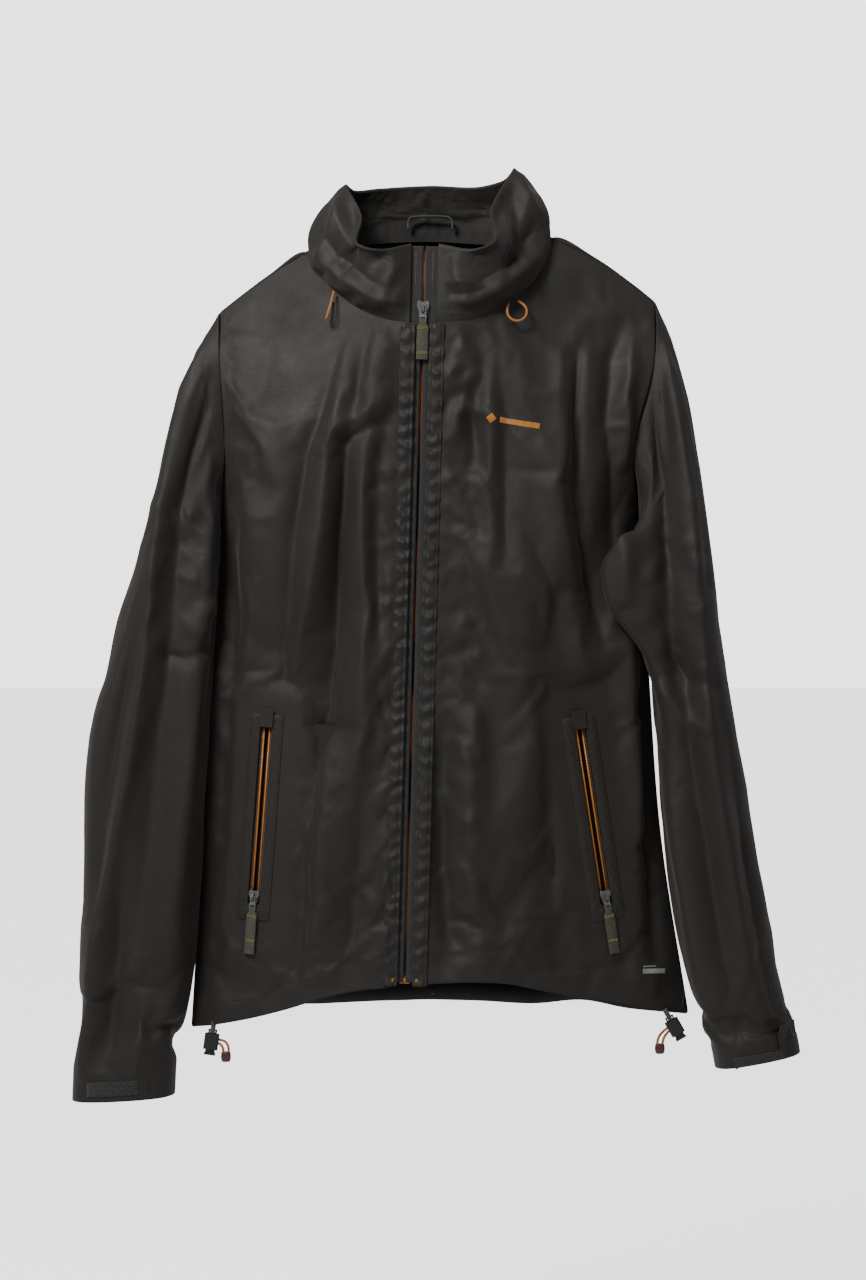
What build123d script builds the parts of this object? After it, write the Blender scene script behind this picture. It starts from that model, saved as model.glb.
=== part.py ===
"""Hardshell jacket, hanging by its loop with the front zip closed and both hand pockets open.

Millimetres. +Z is up, the front of the jacket faces -Y and the wearer's left is +X.
The origin is the top of the hang loop, on the inside of the back neck.
"left" and "right" in every name are the wearer's.
"""
import os
from math import cos, radians, sin

from build123d import *

os.makedirs("parts", exist_ok=True)

# ---------------------------------------------------------------- driving dimensions
CLOTH = 1.6  # three-layer shell with its taped seams, as a plain solid
GAP = 0.4  # between cloth pieces of different bodies, or of one body where they only lie together
SEAT = 0.3  # between a piece and what it lies on

# body
HEM_FRONT_Z = -697.0  # front hem at the zip
HEM_BACK_Z = -726.0  # back hem at the centre: the tail is dropped
CHEST_Z = -215.0
ARM_TOP_Z = -135.0
UNDERARM_Z = -292.0
WAIST_Z = -405.0
HALF_CHEST = 183.0  # armhole edge from the middle, at chest level
HALF_WAIST = 198.0
HALF_HEM = 217.0
HEM_FLARE_LEFT = 18.0  # the hem kicks out by this much on the wearer's left
FRONT_Y = -96.0  # centre front at the hem
FRONT_TOP_Y = -82.0  # centre front at the collar seam
BACK_Y = 22.0  # centre back
SIDE_Y = -36.0  # side seams, and the shoulder seams' line
FRONT_RIB = 34.0  # from the zip to the line down the front where its curve is first broken
POCKET_IN_X = 72.0
POCKET_OUT_X = 182.0
POCKET_IN_Y = -94.0
POCKET_OUT_Y = -63.0
BACK_RIB_X = 90.0

# neck and collar
COLLAR_SEAM_Z = -108.0  # at the zip
COLLAR_FRONT_Z = -40.0  # top edge at the zip
COLLAR_BACK_Z = 27.0  # top edge at the centre back
COLLAR_LINING = 1.2
COLLAR_SPACE = 2.6  # between the collar's two layers
NECK_BACK_Y = 11.0
FRONT_NECK_RIGHT = (-48.0, -78.0, -100.0)
FRONT_NECK_LEFT = (48.0, -78.0, -100.0)
NECK_RIGHT = (-113.0, -34.0, -38.0)  # where the collar meets the shoulder seam
NECK_LEFT = (111.0, -34.0, -25.0)
SHOULDER_RIGHT = (-153.0, -34.0, -63.0)
SHOULDER_LEFT = (160.0, -34.0, -48.0)
TIP_RIGHT = (-192.0, -34.0, -94.0)
TIP_LEFT = (205.0, -34.0, -84.0)

# centre zip, a straight line
ZIP_TOP = Vector(-4.5, FRONT_TOP_Y + 1.5, COLLAR_FRONT_Z)
ZIP_BOTTOM = Vector(-22.5, FRONT_Y, HEM_FRONT_Z)
ZIP_REST = 601.0  # the slider's place above the bottom end at rest
SLIDER_LENGTH = 15.0
SLIDER_WIDTH = 11.0
TAPE_HALF = 15.0
TAPE = 0.7
COIL_IN = 0.9  # from the zip's middle line to the coil
COIL_OUT = 3.4
COIL_DEPTH = 1.8
COIL_GAP = 0.1  # between a tape and its coil
PANEL_EDGE = 12.0  # from the zip's middle line to the shell's folded edge
PANEL_OUT = 2.2  # the shell lies this far in front of the tape
FLAP_IN = 6.4
FLAP_OUT = 19.5
FLAP = 1.2
BOX_WIDTH = 8.8  # the retainer box at the zip's foot
BOX_HEIGHT = 7.0

# pull: wire-formed tab and sewn ribbon
TAB_LENGTH = 13.0
TAB_WIDTH = 6.0
TAB = 1.2
RIBBON_LENGTH = 37.0
RIBBON_WIDTH = 10.6
RIBBON = 2.4
RIBBON_FOLD = 1.5  # where the ribbon is folded round the tab's lower bar
SLIDER_PLATE = 1.3
SLIDER_ROOF = 2.1
BRIDGE = 1.6  # width of the bridge that the pull hangs under
PULL_RISE = 1.2  # from the slider's roof to the pull's cross bar
PULL_BAR = 0.7  # radius

# hand pockets
POCKET_TOP_Z = -465.0
POCKET_ZIP = 156.0  # length of the open zip
POCKET_TOP_X_LEFT = 133.0
POCKET_FOOT_X_LEFT = 157.0
POCKET_TOP_X_RIGHT = -146.0
POCKET_FOOT_X_RIGHT = -157.5
POCKET_COIL_IN = 2.6  # half of the open gap between the coils
POCKET_COIL_OUT = 4.1
POCKET_TAPE_OUT = 12.0
POCKET_SLIDER_WIDTH = 10.2
POCKET_SLIDER_LENGTH = 12.0
WELT_IN = 6.0
WELT_OUT = 16.0
WELT = 1.2
BAG_WIDTH = 60.0
BAG_HEIGHT = 178.0
BAG_DEPTH = 9.0
BAG_WALL = 0.8
BAG_MARGIN = 14.0  # the bag reaches this far past its mouth
BAG_NECK = 3.0
POCKET_WINDOW = 2 * (POCKET_TAPE_OUT - 2.0)  # width of the slot in the shell
GARAGE_WIDTH = 13.0
GARAGE_HEIGHT = 17.0
GARAGE = 1.0
POCKET_POST = 1.6  # half width of the post between a slider's two plates

# sleeves
SWING = 30.0  # degrees that a sleeve lifts outwards
WEDGE = SWING + 8.0  # degrees left free under the outer edge for it
PIVOT_X = 193.0  # the underarm, where a sleeve swings
PIVOT_Z = -296.0
CUFF_Z = -803.0
CUFF_TAB_WIDTH = 34.0
CUFF_TAB_HEIGHT = 26.0
CUFF_TAB = 1.4
LOOP_STRIP_WIDTH = 46.0
LOOP_STRIP_HEIGHT = 13.0

# cords
CORD = 2.4  # diameter of the hem drawcord
COLLAR_CORD = 2.2

HEM_CHANNEL = 7.0  # height of the drawcord above the hem's edge

# hang loop, label and marks
HANG_WIDTH = 42.0
HANG_BAND = 6.0
HANG_DROP = 13.0
HANG = 1.4
CHEST_MARK_X = 74.0
CHEST_MARK_Z = -197.0
CHEST_MARK_WIDTH = 50.0
CHEST_MARK_HEIGHT = 12.0
CHEST_MARK_FALL = 9.0  # degrees
HEM_MARK_Z = -688.0
MARK = 0.4  # thickness of a raised mark

# hem cord lock
LOCK_WIDTH = 13.0
LOCK_HEIGHT = 14.0
LOCK_DEPTH = 8.0
BUTTON_TRAVEL = 3.0
ANCHOR_LENGTH = 12.0


# rows: inner x, outer x, inner z, outer z, front y, back y, tuck
HEAD_ROWS = {
    -1: [(191, 221, -291, -166, -74, 2, 0), (191, 250, -292, -240, -80, 6, 0)],
    1: [(191, 233, -290, -160, -76, 2, 6), (192, 244, -292, -232, -84, 6, 16)],
}
# inner x, outer x, front y, back y, tuck
HEAD_END = {-1: (193, 262, -82, 6, 0), 1: (193, 250, -86, 6, 26)}
SLEEVE_START = {-1: (193, 272, -82, 6, 0), 1: (193, 258, -86, 6, 26)}
SLEEVE_ROWS = {
    -1: [
        (206, 297, -405, -405, -84, 6, 0),
        (211, 314, -480, -480, -86, 4, 0),
        (214, 319, -640, -640, -84, 0, 0),
        (226, 322, -742, -742, -78, -8, 0),
        (231, 323, CUFF_Z, CUFF_Z - 4, -76, -12, 0),
    ],
    1: [
        (204, 272, -392, -392, -92, 4, 16),
        (207, 285, -470, -470, -92, 4, 0),
        (218, 298, -560, -560, -90, 0, 0),
        (236, 318, -680, -680, -84, -6, 0),
        (251, 331, -736, -732, -80, -10, 0),
        (257, 334, -776, -762, -78, -14, 0),
    ],
}

# ---------------------------------------------------------------- helpers
def triangles(a, b, c, d):
    """Two flat faces over the four corners of a net's cell, going round it."""
    return [
        Face(Wire.make_polygon([a, b, c])),
        Face(Wire.make_polygon([a, c, d])),
    ]


def sheet(outer, inner, closed=False):
    """A closed solid between two nets of points. closed joins the last column to the first."""
    rows = len(outer)
    columns = len(outer[0])
    steps = columns if closed else columns - 1
    faces = []
    for i in range(rows - 1):
        for j in range(steps):
            k = (j + 1) % columns
            faces += triangles(outer[i][j], outer[i][k], outer[i + 1][k], outer[i + 1][j])
            faces += triangles(inner[i][j], inner[i + 1][j], inner[i + 1][k], inner[i][k])
    for i in (0, rows - 1):
        for j in range(steps):
            k = (j + 1) % columns
            faces += triangles(outer[i][j], inner[i][j], inner[i][k], outer[i][k])
    if not closed:
        for j in (0, columns - 1):
            for i in range(rows - 1):
                faces += triangles(outer[i][j], outer[i + 1][j], inner[i + 1][j], inner[i][j])
    solid = Solid(Shell(faces))
    if solid.volume < 0:
        solid = Solid(solid.wrapped.Reversed())
    return solid


def toward(point, target, distance):
    """The point moved by distance towards target."""
    p = Vector(point)
    return p + (Vector(target) - p).normalized() * distance


def body_core(point):
    """The place on the body's middle line that the cloth at this point faces."""
    return Vector(0.25 * point[0], SIDE_Y, min(point[2], -250.0))


def body_inner(rows, distance=CLOTH):
    return [[toward(p, body_core(p), distance) for p in row] for row in rows]


def zip_at(z, across=0.0, out=0.0):
    """The point of the centre zip's line at height z, moved across and out of the jacket."""
    t = (z - ZIP_BOTTOM.Z) / (ZIP_TOP.Z - ZIP_BOTTOM.Z)
    p = ZIP_BOTTOM + (ZIP_TOP - ZIP_BOTTOM) * t
    return (p.X + across, p.Y - out, z)


def plane_on(origin, up, out):
    """Local x across to the wearer's left, y along up, z out of the cloth."""
    y = Vector(up).normalized()
    z = Vector(out)
    z = (z - y * z.dot(y)).normalized()
    return Plane(origin=origin, x_dir=y.cross(z), z_dir=z)


def block(x0, x1, y0, y1, z0, z1):
    return Pos((x0 + x1) / 2, (y0 + y1) / 2, (z0 + z1) / 2) * Box(x1 - x0, y1 - y0, z1 - z0)


def slab(width, y0, y1, z0, z1):
    """A block centred on x."""
    return block(-width / 2, width / 2, y0, y1, z0, z1)


def save(name, *shapes):
    shape = shapes[0] if len(shapes) == 1 else Compound(children=list(shapes))
    export_step(shape, f"parts/{name}.step")
    print(name, len(shape.solids()), round(shape.volume, 1))
    return shape


# ---------------------------------------------------------------- body panels
def front_y(x):
    """How far forward the lower front lies at a distance x from the middle, beyond the front rib."""
    t = (abs(x) - POCKET_IN_X) / (POCKET_OUT_X - POCKET_IN_X)
    return POCKET_IN_Y + (POCKET_OUT_Y - POCKET_IN_Y) * t


def between(a, b, t):
    return tuple(p + (q - p) * t for p, q in zip(a, b))


def on_plane(a, b, c, x, z):
    """The point at x, z on the plane through three points."""
    normal = (Vector(b) - Vector(a)).cross(Vector(c) - Vector(a))
    y = a[1] - (normal.X * (x - a[0]) + normal.Z * (z - a[2])) / normal.Y
    return (x, y, z)


def rib_at(side, z):
    """The front rib runs beside the zip, a little further forward."""
    return zip_at(z, side * FRONT_RIB, PANEL_OUT + 1.2)


def front_net(side):
    """Rows from the neck to the hem, columns from the zip to the side seam.

    side is 1 for the wearer's left and -1 for the right.
    """
    neck, middle, tip = side_points(side)
    flare = HEM_FLARE_LEFT if side > 0 else 0.0
    lift = 12.0 if side > 0 else 0.0
    edge = side * PANEL_EDGE
    ins = side * POCKET_IN_X
    arm_corner = (side * 112, -76.0, ARM_TOP_Z)
    high, low = rib_at(side, ARM_TOP_Z), rib_at(side, CHEST_Z)
    chest_corner = on_plane(high, low, arm_corner, side * 112, CHEST_Z)
    outs = side * POCKET_OUT_X
    top = [
        zip_at(COLLAR_SEAM_Z, edge, PANEL_OUT),
        FRONT_NECK_LEFT if side > 0 else FRONT_NECK_RIGHT,
        neck,
        middle,
        tip,
    ]
    arm = [
        zip_at(ARM_TOP_Z - 10, edge, PANEL_OUT),
        rib_at(side, ARM_TOP_Z),
        arm_corner,
        (side * 155, -68.0, ARM_TOP_Z),
        (tip[0] - side * 2, -56.0, ARM_TOP_Z),
    ]
    chest = [
        zip_at(CHEST_Z, edge, PANEL_OUT),
        rib_at(side, CHEST_Z),
        chest_corner,
        (side * 160, -74.0, CHEST_Z),
        (side * HALF_CHEST, -62.0, CHEST_Z),
    ]
    under = [
        zip_at(UNDERARM_Z, edge, PANEL_OUT),
        rib_at(side, UNDERARM_Z),
        (ins, POCKET_IN_Y, UNDERARM_Z),
        (side * 165, front_y(165), UNDERARM_Z),
        (side * (HALF_CHEST + 7), SIDE_Y, UNDERARM_Z),
    ]
    waist = [
        zip_at(WAIST_Z, edge, PANEL_OUT),
        rib_at(side, WAIST_Z),
        (ins, POCKET_IN_Y, WAIST_Z),
        (outs, POCKET_OUT_Y, WAIST_Z),
        (side * HALF_WAIST, SIDE_Y, WAIST_Z),
    ]
    hem = [
        zip_at(HEM_FRONT_Z, edge, PANEL_OUT),
        rib_at(side, HEM_FRONT_Z - 3),
        (ins, POCKET_IN_Y, HEM_FRONT_Z - 22 + lift),
        (outs, POCKET_OUT_Y, HEM_FRONT_Z - 41 + lift),
        (side * (HALF_HEM + flare), SIDE_Y, HEM_FRONT_Z - 46 + lift),
    ]
    return [top, arm, chest, under, waist, hem]


def side_points(side):
    if side > 0:
        return NECK_LEFT, SHOULDER_LEFT, TIP_LEFT
    return NECK_RIGHT, SHOULDER_RIGHT, TIP_RIGHT


def back_half(side):
    """Rows of the back from the side seam to near its middle line."""
    neck, middle, tip = side_points(side)
    front = front_net(side)
    rib = side * BACK_RIB_X
    top = [tip, middle, neck, (side * 60, NECK_BACK_Y - 6, -20.0)]
    arm = [
        (tip[0] - side * 2, -8.0, ARM_TOP_Z),
        (side * 155, 8.0, ARM_TOP_Z),
        (side * 112, 14.0, ARM_TOP_Z),
        (side * 60, BACK_Y - 2, ARM_TOP_Z),
    ]
    edges = [(side * HALF_CHEST, -6.0, CHEST_Z), front[3][4], front[4][4], front[5][4]]
    quarters = [
        (side * 150, 10.0, CHEST_Z),
        (side * 152, 8.0, UNDERARM_Z),
        (side * 160, 8.0, WAIST_Z),
        (side * 165, 8.0, HEM_BACK_Z - 8),
    ]
    ribs = [(rib, BACK_Y - 4, z) for z in (CHEST_Z, UNDERARM_Z, WAIST_Z, HEM_BACK_Z - 4)]
    inners = [(side * 50, BACK_Y - 1, z) for z in (CHEST_Z, UNDERARM_Z, WAIST_Z, HEM_BACK_Z - 1)]
    return [top, arm] + [list(row) for row in zip(edges, quarters, ribs, inners)]


def back_net():
    right = back_half(-1)
    left = back_half(1)
    middles = [(0, NECK_BACK_Y, -14.0)]
    middles += [(0, BACK_Y, z) for z in (ARM_TOP_Z, CHEST_Z, UNDERARM_Z, WAIST_Z, HEM_BACK_Z)]
    return [r + [m] + l[::-1] for r, m, l in zip(right, middles, left)]


def front_panel(side):
    rows = front_net(side)
    panel = sheet(rows, body_inner(rows))
    slot = pocket_slot(side)
    return panel - slot


def back_panel():
    rows = back_net()
    return sheet(rows, body_inner(rows))


# ---------------------------------------------------------------- pockets
def pocket_plane(side):
    """The pocket zip's own plane: origin at its foot, y up along it, z 0 on the shell's face."""
    x_top = POCKET_TOP_X_LEFT if side > 0 else POCKET_TOP_X_RIGHT
    x_foot = POCKET_FOOT_X_LEFT if side > 0 else POCKET_FOOT_X_RIGHT
    top = Vector(x_top, front_y(x_top), POCKET_TOP_Z)
    foot_z = POCKET_TOP_Z - POCKET_ZIP
    foot = Vector(x_foot, front_y(x_foot), foot_z)
    across = Vector(side * (POCKET_OUT_X - POCKET_IN_X), POCKET_OUT_Y - POCKET_IN_Y, 0)
    out = across.cross(Vector(0, 0, 1)) * side
    return plane_on(foot, top - foot, out)


def pocket_slot(side):
    plane = pocket_plane(side)
    cut = slab(POCKET_WINDOW, -8, POCKET_ZIP + 2, -5, 3)
    return plane.location * cut


def pocket_frame():
    """The stitched welt frame and the garage that the slider parks under when the zip is closed."""
    welt = slab(2 * WELT_OUT, -22, POCKET_ZIP + 8, SEAT, SEAT + WELT)
    welt -= slab(POCKET_WINDOW, -9, POCKET_ZIP + 2.5, 0, 3)
    low = POCKET_ZIP - 4
    out = SEAT + WELT + GAP
    garage = slab(GARAGE_WIDTH, low, low + GARAGE_HEIGHT, out, out + GARAGE)
    return welt, garage


def pocket_tapes():
    """Both tapes of the open zip behind the shell, and the coils behind the tapes."""
    top = -CLOTH - SEAT
    low = top - TAPE
    back = low - COIL_GAP
    tapes = []
    coils = []
    for side in (-1, 1):
        a, b = sorted((side * POCKET_COIL_IN, side * POCKET_TAPE_OUT))
        tapes.append(block(a, b, -8, POCKET_ZIP + 4, low, top))
        a, b = sorted((side * POCKET_COIL_IN, side * POCKET_COIL_OUT))
        coils.append(block(a, b, -6, POCKET_ZIP + 2, back - COIL_DEPTH, back))
    return tapes, coils


def pocket_bag(side):
    """A flat bag towards the zip, joined to the tapes by a short neck."""
    neck_top = -CLOTH - SEAT - TAPE - 2 * SEAT
    top = neck_top - BAG_NECK
    low = top - BAG_DEPTH
    x0 = min(-side * BAG_WIDTH, 0) - BAG_MARGIN
    x1 = max(-side * BAG_WIDTH, 0) + BAG_MARGIN
    y0 = -26.0
    y1 = y0 + BAG_HEIGHT
    wall = BAG_WALL
    bag = block(x0, x1, y0, y1, low, top)
    bag -= block(x0 + wall, x1 - wall, y0 + wall, y1 - wall, low + wall, top - wall)
    bag -= slab(POCKET_WINDOW, -10, POCKET_ZIP + 3, neck_top - 6, neck_top)
    neck = slab(POCKET_WINDOW + 2, -11, POCKET_ZIP + 4, top, neck_top)
    neck -= slab(POCKET_WINDOW, -10, POCKET_ZIP + 3, neck_top - 6, neck_top + 1)
    return bag + neck


# ---------------------------------------------------------------- zip sliders and pulls
def slider(width, length, tape_z, coil_low, post_half, roof):
    """A slider on the origin: its roof lies over the tape's face, its floor under the coils."""
    floor_top = coil_low - SEAT
    floor_low = floor_top - SLIDER_PLATE
    top = slab(width, -length / 2, length / 2, tape_z + SEAT, roof)
    floor = slab(width - 2, -length / 2 + 1, length / 2 - 1, floor_low, floor_top)
    post = slab(2 * post_half, 1.5, length / 2 - 1.5, floor_low, roof)
    body = top + floor + post
    for y in (-2.6, 2.6):
        body += slab(BRIDGE, y - 0.7, y + 0.7, roof - 0.2, roof + 3.2)
    body += slab(BRIDGE, -3.3, 3.3, roof + 2.4, roof + 3.4)
    return body


def pull_tab(roof):
    """The tab hangs from a cross bar under the slider's bridge. Its bar is the hinge."""
    z = roof + PULL_RISE
    low, high = z - TAB / 2, z + TAB / 2
    tab = Pos(0, 0, z) * Rot(0, 90, 0) * Cylinder(PULL_BAR, TAB_WIDTH)
    tab += block(1.2, TAB_WIDTH / 2, -5.0, 0, low, high)
    tab += block(-TAB_WIDTH / 2, -1.2, -5.0, 0, low, high)
    tab += slab(TAB_WIDTH, -TAB_LENGTH, -3.9, low, high)
    tab -= slab(TAB_WIDTH - 2.4, -TAB_LENGTH + 1.4, -TAB_LENGTH + 5.4, z - 2, z + 2)
    return tab


def pull_ribbon(roof, length=RIBBON_LENGTH, width=RIBBON_WIDTH):
    """A folded ribbon that goes through the tab's window and is stitched below it."""
    z = roof + PULL_RISE
    top = -TAB_LENGTH + 4.6
    low, high = z - RIBBON_FOLD / 2, z + RIBBON_FOLD / 2
    body = slab(width, top - length, top, z - RIBBON / 2, z + RIBBON / 2)
    room = slab(TAB_WIDTH + 2 * SEAT, -TAB_LENGTH - SEAT, top + 1, low, high)
    web = slab(TAB_WIDTH - 2.8, -TAB_LENGTH + 1.6, top - 0.1, low, high)
    return body - room + web


def hardware_at(place, *shapes):
    return [place * s for s in shapes]


# ---------------------------------------------------------------- centre zip
def centre_plane():
    return plane_on(ZIP_BOTTOM, ZIP_TOP - ZIP_BOTTOM, Vector(0, -1, 0))


def zip_length():
    return (ZIP_TOP - ZIP_BOTTOM).length


def centre_zip():
    """Tapes, coils and storm flaps of both fronts, with the stops, box and pin."""
    place = centre_plane().location
    length = zip_length()
    coil_top = -TAPE - COIL_GAP
    low = coil_top - COIL_DEPTH
    flap_low = PANEL_OUT + 2 * SEAT
    seam = COLLAR_SEAM_Z - HEM_FRONT_Z - 1.0
    for side, name in ((1, "left"), (-1, "right")):
        a, b = sorted((side * COIL_IN, side * TAPE_HALF))
        save(f"zip_tape_{name}", place * block(a, b, 2, length, -TAPE, 0))
        a, b = sorted((side * COIL_IN, side * COIL_OUT))
        save(f"zip_coil_{name}", place * block(a, b, 12, length - 4, low, coil_top))
        a, b = sorted((side * FLAP_IN, side * FLAP_OUT))
        save(f"storm_flap_{name}", place * block(a, b, 0, seam, flap_low, flap_low + FLAP))
    stop = Pos(2.2, length - 2.15, (low + coil_top) / 2) * Box(2.6, 3.3, COIL_DEPTH)
    save("zip_top_stops", *hardware_at(place, stop, Pos(-4.4, 0, 0) * stop))
    box = slab(BOX_WIDTH, 0.5, 0.5 + BOX_HEIGHT, low - 1.3, low - 0.2)
    box += block(-BOX_WIDTH / 2, -3.6, 0.5, 0.5 + BOX_HEIGHT, low - 0.3, coil_top)
    save("zip_retainer_box", place * box)
    pin = block(1.2, 2.8, 0.8, 11.8, low, coil_top)
    save("zip_insertion_pin", place * pin)


def centre_pull():
    place = centre_plane().location * Pos(0, ZIP_REST, 0)
    low = -TAPE - COIL_GAP - COIL_DEPTH
    body = slider(SLIDER_WIDTH, SLIDER_LENGTH, 0, low, 0.5, SLIDER_ROOF)
    save("center_slider", place * body)
    save("center_pull_tab", place * pull_tab(SLIDER_ROOF))
    save("center_pull_ribbon", place * pull_ribbon(SLIDER_ROOF))


def pockets():
    """Both hand pockets, each built in its own plane and then put in place."""
    welt, garage = pocket_frame()
    tapes, coils = pocket_tapes()
    tape_top = -CLOTH - SEAT
    low = tape_top - TAPE - COIL_GAP - COIL_DEPTH
    roof = SEAT + WELT + 0.2
    body = slider(POCKET_SLIDER_WIDTH, POCKET_SLIDER_LENGTH, tape_top, low, POCKET_POST, roof)
    ribbon = pull_ribbon(roof, RIBBON_LENGTH + 6, RIBBON_WIDTH - 1)
    for side, name in ((1, "left"), (-1, "right")):
        place = pocket_plane(side).location
        save(f"pocket_welt_{name}", place * welt)
        save(f"pocket_garage_{name}", place * garage)
        save(f"pocket_zip_tape_{name}", *hardware_at(place, *tapes))
        save(f"pocket_zip_coil_{name}", *hardware_at(place, *coils))
        save(f"pocket_bag_{name}", place * pocket_bag(side))
        here = place * Pos(0, -0.5, 0)
        save(f"pocket_slider_{name}", here * body)
        save(f"pocket_pull_tab_{name}", here * pull_tab(roof))
        save(f"pocket_pull_ribbon_{name}", here * ribbon)


# ---------------------------------------------------------------- collar
def collar_points():
    """Bottom seam, middle and top edge of the collar, from the zip round the back to the zip."""
    seam = [
        zip_at(COLLAR_SEAM_Z, -PANEL_EDGE, PANEL_OUT),
        FRONT_NECK_RIGHT,
        between(FRONT_NECK_RIGHT, NECK_RIGHT, 0.6),
        NECK_RIGHT,
        (-60, NECK_BACK_Y - 6, -20.0),
        (0, NECK_BACK_Y, -14.0),
        (60, NECK_BACK_Y - 6, -20.0),
        NECK_LEFT,
        between(FRONT_NECK_LEFT, NECK_LEFT, 0.6),
        FRONT_NECK_LEFT,
        zip_at(COLLAR_SEAM_Z, PANEL_EDGE, PANEL_OUT),
    ]
    middle = [
        zip_at(-74, -PANEL_EDGE, PANEL_OUT),
        (-52, -80.0, -66.0),
        (-84, -62.0, -42.0),
        (-100, -36.0, -10.0),
        (-56, NECK_BACK_Y - 6, 2.0),
        (0, NECK_BACK_Y + 1, 6.0),
        (56, NECK_BACK_Y - 5, 6.0),
        (99, -34.0, 2.0),
        (84, -60.0, -36.0),
        (50, -80.0, -66.0),
        zip_at(-74, PANEL_EDGE, PANEL_OUT),
    ]
    top = [
        zip_at(COLLAR_FRONT_Z, -PANEL_EDGE, PANEL_OUT),
        (-50, -80.0, -34.0),
        (-68, -62.0, -8.0),
        (-75, -38.0, 21.0),
        (-48, NECK_BACK_Y - 10, COLLAR_BACK_Z - 2),
        (0, NECK_BACK_Y - 1, COLLAR_BACK_Z),
        (48, NECK_BACK_Y - 8, COLLAR_BACK_Z + 2),
        (75, -36.0, 37.0),
        (66, -60.0, 2.0),
        (50, -80.0, -36.0),
        zip_at(COLLAR_FRONT_Z, PANEL_EDGE, PANEL_OUT),
    ]
    return [seam, middle, top]


def collar_core(point):
    return Vector(0.4 * point[0], -34.0, point[2] - 4)


def collar_layer(start, thickness, drop, edge):
    """One layer of the collar, from start to start + thickness inside its outer face."""
    rows = collar_points()
    outer = [[toward(p, collar_core(p), start) for p in row] for row in rows]
    inner = [[toward(p, collar_core(p), start + thickness) for p in row] for row in rows]
    lift = [Vector(0, 0, d) for d in (0.9 + drop, 0, -drop)]
    outer = [[p + up for p in row] for row, up in zip(outer, lift)]
    inner = [[p + up for p in row] for row, up in zip(inner, lift)]
    for row in outer + inner:
        row[0] += Vector(-edge, 0, 0)
        row[-1] += Vector(edge, 0, 0)
    return sheet(outer, inner)


# ---------------------------------------------------------------- sleeves
def armhole(side):
    """The armhole's edge, from the shoulder tip down the front, under the arm and up the back."""
    front = front_net(side)
    back = back_half(side)
    return [front[0][4], front[1][4], front[2][4], front[3][4], back[2][0], back[1][0]]


def ring(side, x_in, x_out, z_in, z_out, y_front, y_back, tuck=0.0):
    """A loop round the sleeve: outer edge, front, inner edge, back.

    tuck pulls the front over the body.
    """
    def at(t, y, shift=0.0):
        return (side * (x_in + (x_out - x_in) * t - shift), y, z_in + (z_out - z_in) * t)

    middle = (y_front + y_back) / 2
    return [
        at(1, middle),
        at(0.74, y_front),
        at(0.28, y_front - 0.25 * tuck, tuck),
        at(0, middle + 4),
        at(0.28, y_back),
        at(0.74, y_back),
    ]


def hollow_rings(rings, distance=CLOTH):
    inner = []
    for loop in rings:
        middle = sum((Vector(p) for p in loop), Vector(0, 0, 0)) / len(loop)
        inner.append([toward(p, middle, distance) for p in loop])
    return inner


def pivot(side):
    """The line that a sleeve swings about: under the arm, from front to back."""
    return Vector(side * PIVOT_X, SIDE_Y, PIVOT_Z)


def wedge_drop(width):
    """Half of the wedge that a swinging sleeve needs at its outer edge."""
    return width * sin(radians(WEDGE / 2)) / cos(radians(WEDGE / 2))


def sleeve_head(side):
    hole = [Vector(p) + Vector(side * GAP, 0, 0) for p in armhole(side)]
    rings = [hole] + [ring(side, *row) for row in HEAD_ROWS[side]]
    x_in, x_out, y_front, y_back, tuck = HEAD_END[side]
    z_out = PIVOT_Z + SEAT + wedge_drop(x_out - x_in)
    rings.append(ring(side, x_in, x_out, PIVOT_Z + SEAT, z_out, y_front, y_back, tuck))
    return sheet(rings, hollow_rings(rings), closed=True)


def sleeve(side):
    x_in, x_out, y_front, y_back, tuck = SLEEVE_START[side]
    z_out = PIVOT_Z - SEAT - wedge_drop(x_out - x_in)
    rings = [ring(side, x_in, x_out, PIVOT_Z - SEAT, z_out, y_front, y_back, tuck)]
    rings += [ring(side, *row) for row in SLEEVE_ROWS[side]]
    return sheet(rings, hollow_rings(rings), closed=True)


# ---------------------------------------------------------------- cuffs
def cuff_face(side, first, second):
    """The plane of one flat of the cuff, between two points of its last two rings."""
    rows = SLEEVE_ROWS[side]
    low = ring(side, *rows[-1])
    high = ring(side, *rows[-2])
    a, b, c = Vector(low[first]), Vector(low[second]), Vector(high[first])
    out = (b - a).cross(c - a)
    middle = sum((Vector(p) for p in low), Vector(0, 0, 0)) / len(low)
    if out.dot(a - middle) < 0:
        out = out * -1
    return a, b, c, out.normalized()


def cuff_strip(side):
    """The soft loop strip on the front of the cuff."""
    a, b, c, out = cuff_face(side, 1, 2)
    centre = (a + b) / 2 + (c - a).normalized() * (LOOP_STRIP_HEIGHT / 2 + 4) + out * 0.9
    plane = Plane(origin=centre, x_dir=(b - a).normalized(), z_dir=out)
    half = LOOP_STRIP_WIDTH / 2
    high = LOOP_STRIP_HEIGHT / 2
    return plane.location * block(-half, half, -high, high, 0, 0.9)


def cuff_hinge(side):
    """Where the cuff tab is sewn: the right cuff's inner edge and the left one's outer edge."""
    edge, front = (3, 2) if side < 0 else (0, 1)
    a, b, c, out = cuff_face(side, edge, front)
    seat = a + (c - a).normalized() * (CUFF_TAB_HEIGHT / 2 + 3) + out * (CUFF_TAB / 2 + 1.2)
    along = (b - a).normalized()
    return seat + along * 4.0, along, out


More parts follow.
